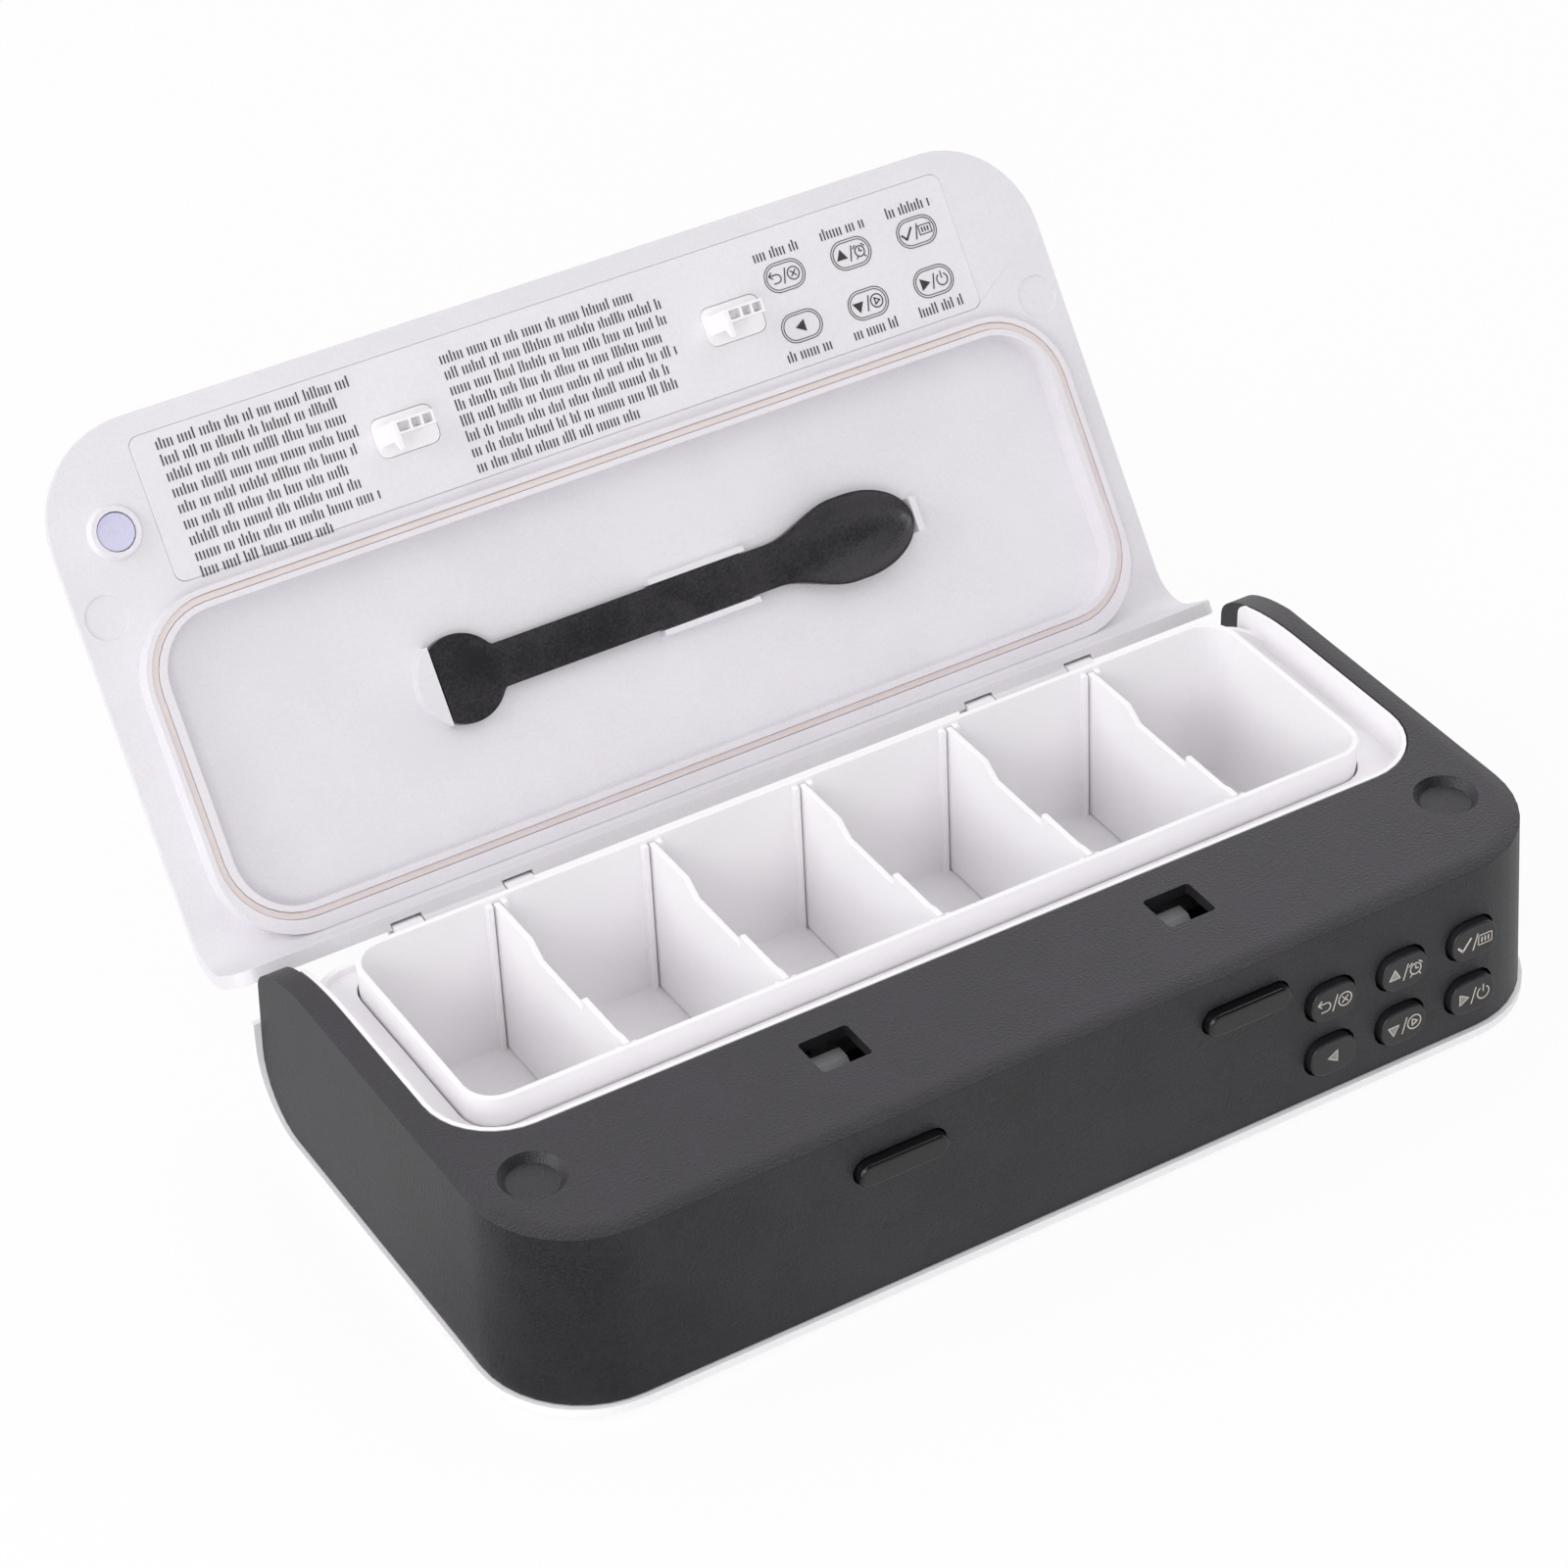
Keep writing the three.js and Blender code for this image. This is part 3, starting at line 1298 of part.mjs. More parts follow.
// Stops on the lid that hold the spoon: a half disc, two rails and an end clip.
function spoonSeats() {
  const root = fieldLevel + overrun / 2;
  const discTop = lidInnerLevel - spoonSeat.discHeight;
  const disc = post(spoon.headX, -spoonU, spoonSeat.discRadius, discTop, root, 32);
  const half = spoonSeat.discRadius + overrun;
  const [keepStart, keepEnd] = [spoon.headX - half, spoon.cutX - spoonSeat.discGap];
  const keep = block(keepStart, keepEnd, -spoonU - half, -spoonU + half, ridgeLevel, lidOuterLevel);
  const seats = [disc.intersect(keep)];
  const railNear = spoon.shaftHalf + seatGap;
  const railFar = railNear + spoonSeat.railThickness;
  const railTopW = lidInnerLevel - spoonSeat.railHeight;
  for (const [a, b] of [[-railFar, -railNear], [railNear, railFar]]) {
    seats.push(block(spoonSeat.railStartX, spoonSeat.railEndX, a - spoonU, b - spoonU, railTopW, root));
  }
  const clipX = spoonTipX + seatGap;
  const clipEnd = clipX + spoonSeat.clipThickness;
  const [clipStart, clipStop] = [-spoonU - spoonSeat.clipWidth / 2, -spoonU + spoonSeat.clipWidth / 2];
  seats.push(block(clipX, clipEnd, clipStart, clipStop, lidInnerLevel - spoonSeat.clipHeight, root));
  return seats;
}

function labelPlan(margin) {
  const radii = Array(4).fill(label.cornerRadius);
  const leftX = label.leftInset - lidHalfLength + margin;
  const rightX = lidHalfLength - label.rightInset - margin;
  const front = lidReach - label.frontInset;
  return lidPlan(leftX, rightX, front - label.depth + margin, front - margin, radii, 4);
}

function hookPlatePlan(x, margin) {
  const [x0, x1] = [x - hook.plateLeft - margin, x + hook.plateRight + margin];
  const [u0, u1] = [hookU + hook.plateRear - margin, hookU + hook.plateFront + margin];
  return lidPlan(x0, x1, u0, u1, Array(4).fill(hook.plateRadius + margin), 4);
}

function labelFilm() {
  const film = prism(labelPlan(label.sideGap), lidInnerLevel, lidInnerLevel + label.film);
  const plans = [-1, 1].map((side) => hookPlatePlan(side * latchX, label.sideGap));
  return cut(film, ...plans.map((plan) => prism(plan, ridgeLevel, lidOuterLevel)));
}

function lidMagnet() {
  const top = lidInnerLevel - magnet.bossHeight + seatGap;
  return post(-recessX, -magnetU, magnet.radius, top, top + magnet.thickness, 24);
}

function lidSeal() {
  const outer = groove.outerInset + seal.sideGap;
  const inner = groove.innerInset - seal.sideGap;
  return grooveBand(outer, inner, ridgeLevel + seal.faceDepth, groove.floor - seatGap);
}

// Hook: base plate, shank with cells open at its tip, and a left side that ends in a barb.
function latchHook() {
  const half = hook.blockWidth / 2;
  const tip = lidInnerLevel - hook.height;
  const root = lidInnerLevel + hook.plateThickness;
  const overlap = root - hook.plateThickness / 2;
  const [shankFront, shankRear] = [-hookU - hook.shankFront, -hookU - hook.shankRear];
  const [sideRear, barbTip] = [-hookU - hook.sideRear, -hookU - hook.barbRear];
  const sideEnd = hook.sideWidth - half;
  const plate = prism(hookPlatePlan(0, 0), lidInnerLevel, root);
  const shank = block(-half, half, shankFront, shankRear, tip, overlap);
  const side = block(-half, sideEnd, shankFront, sideRear, tip, overlap);
  const barbProfile = [[shankRear, tip], [barbTip, tip], [sideRear, tip + hook.barbHeight]];
  const barb = runX(barbProfile.map(([y, z]) => new THREE.Vector2(y, z)), -half, sideEnd);
  const cellSpan = (half - sideEnd - hook.cellWall) / hook.cellCount;
  const [cellFront, cellRear] = [shankFront + hook.cellWall, shankRear - hook.cellWall];
  const cells = [];
  for (let i = 0; i < hook.cellCount; i++) {
    const x1 = sideEnd + (i + 1) * cellSpan;
    const x0 = x1 - cellSpan + (i === 0 ? 0 : hook.cellWall);
    cells.push(block(x0, x1, cellFront, cellRear, tip - overrun, tip + hook.cellDepth));
  }
  return join(plate, cut(join(shank, side), ...cells), barb);
}

// Spoon, drawn as rings across its length: cut head, shaft, neck and bowl.
const spoonTipX = spoon.bowlX + spoon.bowlHalfLength;

function blend(x, from, to) {
  return THREE.MathUtils.smoothstep(x, from, to);
}

function spoonHalfWidth(x) {
  const fromHead = x - spoon.headX;
  const head = Math.sqrt(Math.max(spoon.headRadius ** 2 - fromHead ** 2, 0));
  const fromBowl = (x - spoon.bowlX) / spoon.bowlHalfLength;
  const bowl = spoon.bowlHalfWidth * Math.sqrt(Math.max(1 - fromBowl ** 2, 0));
  if (x < spoon.headX + spoon.headRadius) return Math.max(head, spoon.shaftHalf);
  if (x < spoon.bowlX) {
    const flare = blend(x, spoon.neckStartX, spoon.neckEndX);
    return spoon.shaftHalf + (spoon.bowlHalfWidth - spoon.shaftHalf) * flare;
  }
  return Math.max(bowl, spoon.tipHalf);
}

function spoonRing(x) {
  const back = fieldLevel - seatGap;
  const halfWidth = spoonHalfWidth(x);
  const inBowl = blend(x, spoon.neckStartX, spoon.bowlX - spoon.bowlHalfLength / 3);
  const fromBowl = Math.max((x - spoon.bowlX) / spoon.bowlHalfLength, 0);
  const depthShare = Math.sqrt(Math.max(1 - fromBowl ** 2, 0));
  const rim = lidInnerLevel - spoon.topDepth - (spoon.rimDepth - spoon.topDepth) * inBowl;
  const acrossShares = [-1, -0.85, -0.5, 0, 0.5, 0.85, 1];
  const upper = acrossShares.map((share) => {
    const dish = spoon.dish * inBowl * depthShare * (1 - share ** 2);
    return new THREE.Vector3(x, -spoonU + share * halfWidth, rim + dish);
  });
  const lower = acrossShares.map((share) => {
    const edge = rim + spoon.edge;
    const round = edge + (back - edge) * depthShare * (1 - share ** 2);
    return new THREE.Vector3(x, -spoonU + share * halfWidth, back + (round - back) * inBowl);
  });
  return [...lower.reverse(), ...upper];
}

function spoonBody() {
  const headEnd = spoon.headX + spoon.headRadius;
  const stations = evenly(spoon.cutX, headEnd, 8);
  stations.push(...evenly(spoon.neckStartX, spoon.bowlX, 6));
  const bowlSteps = 7;
  for (let i = 1; i <= bowlSteps; i++) {
    stations.push(spoon.bowlX + spoon.bowlHalfLength * Math.sin((quarterTurn * i) / bowlSteps));
  }
  return skin(stations.map(spoonRing));
}

function evenly(from, to, steps) {
  return Array.from({ length: steps + 1 }, (_, i) => from + ((to - from) * i) / steps);
}

// The case and all that rides in it.
const caseGroup = new THREE.Group();
caseGroup.add(part('base_plate', basePlate(), 'white'));
caseGroup.add(part('body_shell', bodyShell(), 'charcoal'));
caseGroup.add(part('well_liner', wellLiner(), 'white'));
caseGroup.add(part('pill_tray', pillTray(), 'white'));
dividerPlaces.forEach((x, i) => {
  const plate = part(`divider_${i + 1}`, dividerPlate(), 'white');
  plate.position.x = x;
  caseGroup.add(plate);
});
for (const [sideName, side] of [['left', -1], ['right', 1]]) {
  const latchPieces = [
    part(`latch_button_${sideName}`, latchButton(), 'gloss'),
    part(`latch_catch_${sideName}`, latchCatch(), 'grey'),
    part(`latch_spring_${sideName}`, latchSpring(), 'steel'),
  ];
  latchPieces[2].position.z = springZ;
  const latchGroup = new THREE.Group();
  latchGroup.position.x = side * latchX;
  latchGroup.add(...latchPieces);
  caseGroup.add(latchGroup);
  const pin = part(`hinge_pin_${sideName}`, hingePin(side), 'steel');
  pin.position.set(0, hingeY, hingeZ);
  caseGroup.add(pin);
  for (const [rowName, y] of [['front', footFrontY], ['rear', footRearY]]) {
    const pad = part(`foot_${rowName}_${sideName}`, rubberFoot(), 'rubber');
    pad.position.set(side * footX, y, foot.pocketDepth - seatGap - foot.height);
    caseGroup.add(pad);
  }
}
for (const { name, x, z } of keyPlaces) {
  const cap = part(name, keyCap(z), 'satinBlack');
  cap.position.set(x, frontY(z), z);
  cap.rotation.x = -leanAngle;
  const pad = part(name.replace('key', 'tact_switch'), tactSwitch(z), 'grey');
  pad.position.x = x;
  caseGroup.add(cap, pad);
}
caseGroup.add(part('key_board', keyBoardPlate(), 'board'));
caseGroup.add(part('main_board', mainBoardPlate(), 'board'));
screwCorners().forEach(([x, y], i) => {
  const screw = part(`board_screw_${i + 1}`, boardScrewBody(), 'steel');
  screw.position.set(x, y, 0);
  caseGroup.add(screw);
});
caseGroup.add(part('display_module', displayModule(), 'satinBlack'));
caseGroup.add(part('buzzer', buzzerCan(), 'satinBlack'));
caseGroup.add(part('battery', batteryCell(), 'pouch'));
caseGroup.add(part('lid_sensor', lidSensorBlock(), 'satinBlack'));
caseGroup.add(part('charge_board', chargeBoardPlate(), 'board'));
caseGroup.add(part('usb_port', usbPort(), 'steel'));
[-1, 1].flatMap(caseScrewPlaces).forEach(([x, y], i) => {
  const screw = part(`case_screw_${i + 1}`, caseScrewBody(), 'steel');
  screw.position.set(x, y, 0);
  caseGroup.add(screw);
});

// The lid and all that rides on it, turned open about the hinge line.
const lidGroup = new THREE.Group();
lidGroup.position.set(0, hingeY, hingeZ);
lidGroup.rotation.x = -THREE.MathUtils.degToRad(lidOpenDegrees);
lidGroup.add(part('lid_shell', lidShell(), 'white'));
lidGroup.add(part('lid_seal', lidSeal(), 'silicone'));
lidGroup.add(part('label_film', labelFilm(), 'white'));
lidGroup.add(part('lid_magnet', lidMagnet(), 'lavender'));
lidGroup.add(part('spoon', spoonBody(), 'charcoal'));
for (const [sideName, side] of [['left', -1], ['right', 1]]) {
  const piece = part(`latch_hook_${sideName}`, latchHook(), 'white');
  piece.position.x = side * latchX;
  lidGroup.add(piece);
}

const pillBox = new THREE.Group();
pillBox.add(caseGroup, lidGroup);

export default pillBox;
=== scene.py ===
import json
import math
import random

import bmesh
import bpy
from mathutils import Matrix, Vector


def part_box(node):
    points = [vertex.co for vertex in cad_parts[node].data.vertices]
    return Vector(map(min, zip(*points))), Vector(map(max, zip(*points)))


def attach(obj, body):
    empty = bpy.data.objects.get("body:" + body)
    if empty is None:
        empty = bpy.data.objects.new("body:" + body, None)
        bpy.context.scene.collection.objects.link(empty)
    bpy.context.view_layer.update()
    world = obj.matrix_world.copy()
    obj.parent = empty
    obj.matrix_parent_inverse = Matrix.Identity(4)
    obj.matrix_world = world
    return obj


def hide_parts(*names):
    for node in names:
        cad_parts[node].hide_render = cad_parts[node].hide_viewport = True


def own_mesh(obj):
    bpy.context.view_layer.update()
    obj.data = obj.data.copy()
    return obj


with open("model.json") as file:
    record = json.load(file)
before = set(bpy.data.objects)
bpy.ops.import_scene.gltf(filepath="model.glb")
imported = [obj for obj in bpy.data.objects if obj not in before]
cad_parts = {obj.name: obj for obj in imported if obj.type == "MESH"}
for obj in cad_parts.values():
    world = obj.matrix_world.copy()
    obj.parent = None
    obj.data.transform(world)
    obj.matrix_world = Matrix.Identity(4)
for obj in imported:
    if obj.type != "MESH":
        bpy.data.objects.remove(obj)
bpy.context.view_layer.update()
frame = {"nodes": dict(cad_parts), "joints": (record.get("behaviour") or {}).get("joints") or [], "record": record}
nodes = frame["nodes"]
joints = {joint["name"]: joint for joint in frame["joints"]}
MM = 0.001
ACROSS = Vector((1, 0, 0))
WHITE = (1, 1, 1, 1)

# Camera: turned round the object, raised, and rolled a little.
CAMERA_AZIMUTH = math.radians(-30.5064)
CAMERA_ELEVATION = math.radians(37.0349)
CAMERA_ROLL = math.radians(-1.6192)
CAMERA_DISTANCE = 850.606 * MM
CAMERA_TARGET = Vector((-28.4087, -1.0, 29.2)) * MM
CAMERA_RISE = 37.074 * MM
CAMERA_FOCAL_SHARE = 4773.228 / 1600
CAMERA_SENSOR = 36.0
CAMERA_REACH = 20.0


def make_camera():
    level_away = Vector((math.sin(CAMERA_AZIMUTH), -math.cos(CAMERA_AZIMUTH), 0))
    away = level_away * math.cos(CAMERA_ELEVATION) + Vector((0, 0, math.sin(CAMERA_ELEVATION)))
    right = (-away).cross(Vector((0, 0, 1))).normalized()
    up = right.cross(-away)
    rolled_right = right * math.cos(CAMERA_ROLL) + up * math.sin(CAMERA_ROLL)
    rolled_up = up * math.cos(CAMERA_ROLL) - right * math.sin(CAMERA_ROLL)
    place = CAMERA_TARGET + up * CAMERA_RISE + away * CAMERA_DISTANCE
    data = bpy.data.cameras.new("camera")
    data.sensor_width = CAMERA_SENSOR
    data.lens = CAMERA_FOCAL_SHARE * CAMERA_SENSOR
    data.clip_end = CAMERA_REACH
    camera = bpy.data.objects.new("camera", data)
    bpy.context.scene.collection.objects.link(camera)
    columns = (rolled_right, rolled_up, away, place)
    rows = [[column[i] for column in columns] for i in range(3)]
    camera.matrix_world = Matrix(rows + [[0, 0, 0, 1]])
    bpy.context.scene.camera = camera


make_camera()
bpy.context.scene.view_settings.view_transform = "Standard"


# Materials. Lengths of grain and mottling are in millimetres.
TONES_FROM, TONES_TO = 0.42, 0.58
GLOSS_SPREAD = 0.05
LEAST_ROUGHNESS = 0.02


def linear(part):
    return part / 12.92 if part <= 0.04045 else ((part + 0.055) / 1.055) ** 2.4


def srgb(code):
    return [linear(int(code[i:i + 2], 16) / 255) for i in (1, 3, 5)] + [1]


def node_of(tree, kind, **values):
    node = tree.nodes.new(kind)
    for key, value in values.items():
        if hasattr(node, key) and key not in node.inputs:
            setattr(node, key, value)
        else:
            node.inputs[key].default_value = value
    return node


def surface(name, light, dark, roughness, grain=0.35, relief=0.15, depth=0.02, mottle=14.0, **extra):
    """Moulded surface: two close tones, softly mottled, with a fine grain in the tone and the bump."""
    material = bpy.data.materials.new(name)
    material.use_nodes = True
    tree = material.node_tree
    link = tree.links.new
    shader = tree.nodes["Principled BSDF"]
    place = tree.nodes.new("ShaderNodeTexCoord")
    cloud = node_of(tree, "ShaderNodeTexNoise", Scale=1 / (mottle * MM), Detail=4.0, Roughness=0.6)
    fine = node_of(tree, "ShaderNodeTexNoise", Scale=1 / (grain * MM), Detail=2.0, Roughness=0.5)
    both = node_of(tree, "ShaderNodeMix", data_type="FLOAT", Factor=0.5)
    tones = tree.nodes.new("ShaderNodeValToRGB")
    low, high = tones.color_ramp.elements
    low.position, high.position = TONES_FROM, TONES_TO
    low.color, high.color = srgb(dark), srgb(light)
    gloss_range = node_of(tree, "ShaderNodeMapRange")
    gloss_range.inputs["To Min"].default_value = max(roughness - GLOSS_SPREAD, LEAST_ROUGHNESS)
    gloss_range.inputs["To Max"].default_value = min(roughness + GLOSS_SPREAD, 1)
    bump = node_of(tree, "ShaderNodeBump", Strength=relief, Distance=depth * MM)
    link(place.outputs["Object"], cloud.inputs["Vector"])
    link(place.outputs["Object"], fine.inputs["Vector"])
    link(cloud.outputs["Fac"], both.inputs["A"])
    link(fine.outputs["Fac"], both.inputs["B"])
    link(both.outputs["Result"], tones.inputs["Fac"])
    link(tones.outputs["Color"], shader.inputs["Base Color"])
    link(cloud.outputs["Fac"], gloss_range.inputs["Value"])
    link(gloss_range.outputs["Result"], shader.inputs["Roughness"])
    link(fine.outputs["Fac"], bump.inputs["Height"])
    link(bump.outputs["Normal"], shader.inputs["Normal"])
    for key, value in extra.items():
        shader.inputs[key.replace("_", " ")].default_value = value
    return material


charcoal = surface("charcoal_plastic", "#27252a", "#1b1a1e", 0.45, grain=0.5, relief=1.0, depth=0.16)
spoon_black = surface("spoon_plastic", "#3a383c", "#242326", 0.33, grain=0.5, relief=1.0, depth=0.1)
white = surface("white_plastic", "#fdfbfd", "#faf8fb", 0.38, grain=0.5, relief=0.08, mottle=25)
lid_white = surface("lid_plastic", "#edeaef", "#e8e5ea", 0.38, grain=0.5, relief=0.08, mottle=25)
gloss = surface("gloss_black", "#161618", "#101012", 0.16, grain=0.6, relief=0.04)
key_black = surface("key_black", "#2a292c", "#222124", 0.4, grain=0.3, relief=0.2)
grey = surface("grey_plastic", "#bfbdc3", "#b2b0b6", 0.45, grain=0.4, relief=0.1)
lavender = surface("lavender_plastic", "#d8d5ee", "#d0cde8", 0.35, grain=0.4, relief=0.06)
silicone = surface("silicone", "#eae0dd", "#e5dad7", 0.6, grain=0.3, relief=0.1)
film = surface("label_film", "#efecf1", "#ebe8ed", 0.3, grain=0.8, relief=0.04, mottle=30)
steel = surface("steel", "#c9c9cc", "#b5b5b9", 0.25, grain=0.2, relief=0.05, Metallic=1.0)
laminate = surface("board_laminate", "#2f6a45", "#24563a", 0.4, grain=0.6, relief=0.1)
pouch = surface("battery_pouch", "#c2c5ca", "#aeb2b8", 0.35, grain=1.2, relief=0.2, Metallic=0.8)
component = surface("black_component", "#2c2c2f", "#232326", 0.5, grain=0.3, relief=0.15)
rubber = surface("foot_rubber", "#2c2c2e", "#232325", 0.85, grain=0.2, relief=0.4)
print_ink = surface("print_ink", "#454448", "#39383c", 0.5, grain=0.3, relief=0.05)
mark_line = surface("mark_line", "#cfc8bd", "#c2bbb0", 0.45, grain=0.3, relief=0.05)
mark_fill = surface("mark_fill", "#8f8f8d", "#838381", 0.45, grain=0.3, relief=0.05)

finish_of_slot = {
    "charcoal_plastic": charcoal,
    "white_plastic": white,
    "gloss_black": gloss,
    "key_black": key_black,
    "grey_plastic": grey,
    "lavender_plastic": lavender,
    "silicone": silicone,
    "label_film": film,
    "steel": steel,
    "board_laminate": laminate,
    "battery_pouch": pouch,
    "black_component": component,
    "foot_rubber": rubber,
}

finish_of_node = {"lid_shell": lid_white}

# Edges of the solids: facets in one plane are joined, then each sharp edge is rounded.
WELD_REACH = 0.002 * MM
FLAT_ANGLE = math.radians(0.6)
SHARP_ANGLE = math.radians(32)
EDGE_STEPS = 2
EDGE_ROUND = 0.15
FACE_WEIGHT = 100
edge_rounds = {
    "body_shell": 0.45,
    "base_plate": 0.3,
    "well_liner": 0.25,
    "pill_tray": 0.25,
    "label_film": 0.04,
}
# The seal and the film fill the fine seam round them.
swells = {"lid_seal": 0.19, "label_film": 0.18}


def round_edges(obj, width, angle):
    bevel = obj.modifiers.new("bevel", "BEVEL")
    bevel.width = width * MM
    bevel.segments = EDGE_STEPS
    bevel.limit_method = "ANGLE"
    bevel.angle_limit = angle
    normals = obj.modifiers.new("normals", "WEIGHTED_NORMAL")
    normals.keep_sharp = True
    return normals


def soften(obj, width):
    obj.data.shade_smooth()
    weld = obj.modifiers.new("weld", "WELD")
    weld.merge_threshold = WELD_REACH
    if obj.name in swells:
        swell = obj.modifiers.new("swell", "DISPLACE")
        swell.mid_level = 0
        swell.strength = swells[obj.name] * MM
    flat = obj.modifiers.new("flat", "DECIMATE")
    flat.decimate_type = "DISSOLVE"
    flat.angle_limit = FLAT_ANGLE
    normals = round_edges(obj, width, SHARP_ANGLE)
    normals.weight = FACE_WEIGHT


slot_of_node = {part["node"]: part["material_slot"] for part in frame["record"]["subparts"]}
for node_name, cad_object in nodes.items():
    finish = finish_of_node.get(node_name, finish_of_slot[slot_of_node[node_name]])
    cad_object.data.materials.clear()
    cad_object.data.materials.append(finish)
    soften(cad_object, edge_rounds.get(node_name, EDGE_ROUND))


# Pieces that the scene adds.
def add_piece(name, vertices, faces, material, body, smooth=False):
    mesh = bpy.data.meshes.new(name)
    mesh.from_pydata(vertices, [], faces)
    solid = bmesh.new()
    solid.from_mesh(mesh)
    bmesh.ops.recalc_face_normals(solid, faces=solid.faces)
    solid.to_mesh(mesh)
    solid.free()
    mesh.materials.append(material)
    if smooth:
        mesh.shade_smooth()
    piece = bpy.data.objects.new(name, mesh)
    bpy.context.scene.collection.objects.link(piece)
    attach(piece, body)
    return piece


def tube_faces(rings, count):
    """Faces of a closed tube through rings of count points each, with both ends shut."""
    total = rings * count
    faces = [list(range(count)), list(range(total - count, total))[::-1]]
    for i in range(rings - 1):
        for k in range(count):
            following = (k + 1) % count
            a, b = i * count, (i + 1) * count
            faces.append([a + k, b + k, b + following, a + following])
    return faces


# Springs behind the latch buttons: each is one wound wire.
SPRING_TURNS = 5
SPRING_STEPS = 32
WIRE_RADIUS = 0.25 * MM
WIRE_SIDES = 10


def make_spring(side):
    node = f"latch_spring_{side}"
    low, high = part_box(node)
    centre = (low + high) / 2
    coil_radius = (high.x - low.x) / 2 - WIRE_RADIUS
    front, rear = low.y + WIRE_RADIUS, high.y - WIRE_RADIUS
    steps = SPRING_TURNS * SPRING_STEPS
    vertices = []
    for i in range(steps + 1):
        turn = math.tau * i / SPRING_STEPS
        radial = Vector((math.cos(turn), 0, math.sin(turn)))
        middle = Vector((centre.x, front + (rear - front) * i / steps, centre.z)) + radial * coil_radius
        for k in range(WIRE_SIDES):
            angle = math.tau * k / WIRE_SIDES
            offset = radial * math.cos(angle) + Vector((0, math.sin(angle), 0))
            vertices.append(middle + offset * WIRE_RADIUS)
    faces = tube_faces(steps + 1, WIRE_SIDES)
    piece = add_piece(f"{node}_coil", vertices, faces, steel, "case", smooth=True)
    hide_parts(node)
    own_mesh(piece)


for spring_side in ("left", "right"):
    make_spring(spring_side)


# The lid's own frame: x along the hinge, u from the hinge to the free edge, w from the inner face outwards.
lid_joint = joints["lid_hinge"]
LID_ANGLE = math.radians(-lid_joint["range_deg"][0])
HINGE = Vector(lid_joint["pos_m"])
LID_UP = Vector((0, -math.cos(LID_ANGLE), math.sin(LID_ANGLE)))
LID_OUT = Vector((0, math.sin(LID_ANGLE), math.cos(LID_ANGLE)))
LID_FACE = 17.9


def on_lid(x, u, w):
    return Vector((x * MM, HINGE.y, HINGE.z)) + LID_UP * (u * MM) + LID_OUT * (w * MM)


# Spoon: a cut round head, a flat shaft, and a bowl with a raised rim.
CUT_X, HEAD_X, HEAD_RADIUS = -47.2, -42.5, 8.85
SHAFT_HALF = 4.4
NECK_X, NECK_END_X, BOWL_X = 28.0, 43.0, 46.0
BOWL_HALF_LENGTH, BOWL_HALF_WIDTH = 13.5, 8.7
SPOON_U = 41.0
SPOON_TOP, BOWL_RIM, SPOON_BACK = 15.5, 14.2, 18.1
BOWL_DEPTH, BOWL_WALL = 3.4, 0.4
RIM_SHARE = 0.9
HEAD_FILLET = 0.9
CROWN = 0.35
HALF_STEPS = 12
HEAD_STEPS, SHAFT_STEPS, NECK_STEPS, TIP_STEPS = 20, 35, 16, 24
SHAFT_STEP = 1.5
TIP_LEAST = 0.0004
HOLLOW_END, HOLLOW_SIDE = 0.9, 2.2
BACK_END, BACK_SIDE = 0.7, 2.4
SPOON_ROUND = 0.2
SPOON_ANGLE = math.radians(50)


def smooth_step(x, start, end):
    share = min(max((x - start) / (end - start), 0), 1)
    return share * share * (3 - 2 * share)


def smooth_max(a, b, fillet):
    """The larger of two lengths, rounded where they meet, and exact further off."""
    near = max(fillet - abs(a - b), 0) / fillet
    return max(a, b) + near * near * fillet / 4


def spoon_half_width(x):
    if x < 0:
        head = math.sqrt(max(HEAD_RADIUS ** 2 - (x - HEAD_X) ** 2, 0))
        return smooth_max(head, SHAFT_HALF, HEAD_FILLET)
    if x < BOWL_X:
        return SHAFT_HALF + (BOWL_HALF_WIDTH - SHAFT_HALF) * smooth_step(x, NECK_X, NECK_END_X)
    return BOWL_HALF_WIDTH * math.sqrt(max(1 - ((x - BOWL_X) / BOWL_HALF_LENGTH) ** 2, TIP_LEAST))


def sine_share(i, steps):
    return math.sin(math.pi / 2 * i / steps)


def spoon_section(x):
    """Points round the spoon at x: across the back first, then across the top."""
    half = spoon_half_width(x)
    in_bowl = smooth_step(x, NECK_X, NECK_END_X)
    tip_share = math.sqrt(max(1 - max((x - BOWL_X) / BOWL_HALF_LENGTH, 0) ** 2, 0))
    top = SPOON_TOP + (BOWL_RIM - SPOON_TOP) * in_bowl
    edge = top + BOWL_WALL
    upper, lower = [], []
    for i in range(-HALF_STEPS, HALF_STEPS + 1):
        share = sine_share(i, HALF_STEPS)
        inside = min(abs(share) / RIM_SHARE, 1)
        hollow = BOWL_DEPTH * tip_share ** HOLLOW_END * (1 - inside ** HOLLOW_SIDE)
        plain = CROWN * share ** 2
        upper.append((x, share * half, top + plain * (1 - in_bowl) + hollow * in_bowl))
        bulge = (SPOON_BACK - edge) * tip_share ** BACK_END * (1 - abs(share) ** BACK_SIDE)
        lower.append((x, share * half, SPOON_BACK + (edge + bulge - SPOON_BACK) * in_bowl))
    return lower[::-1] + upper


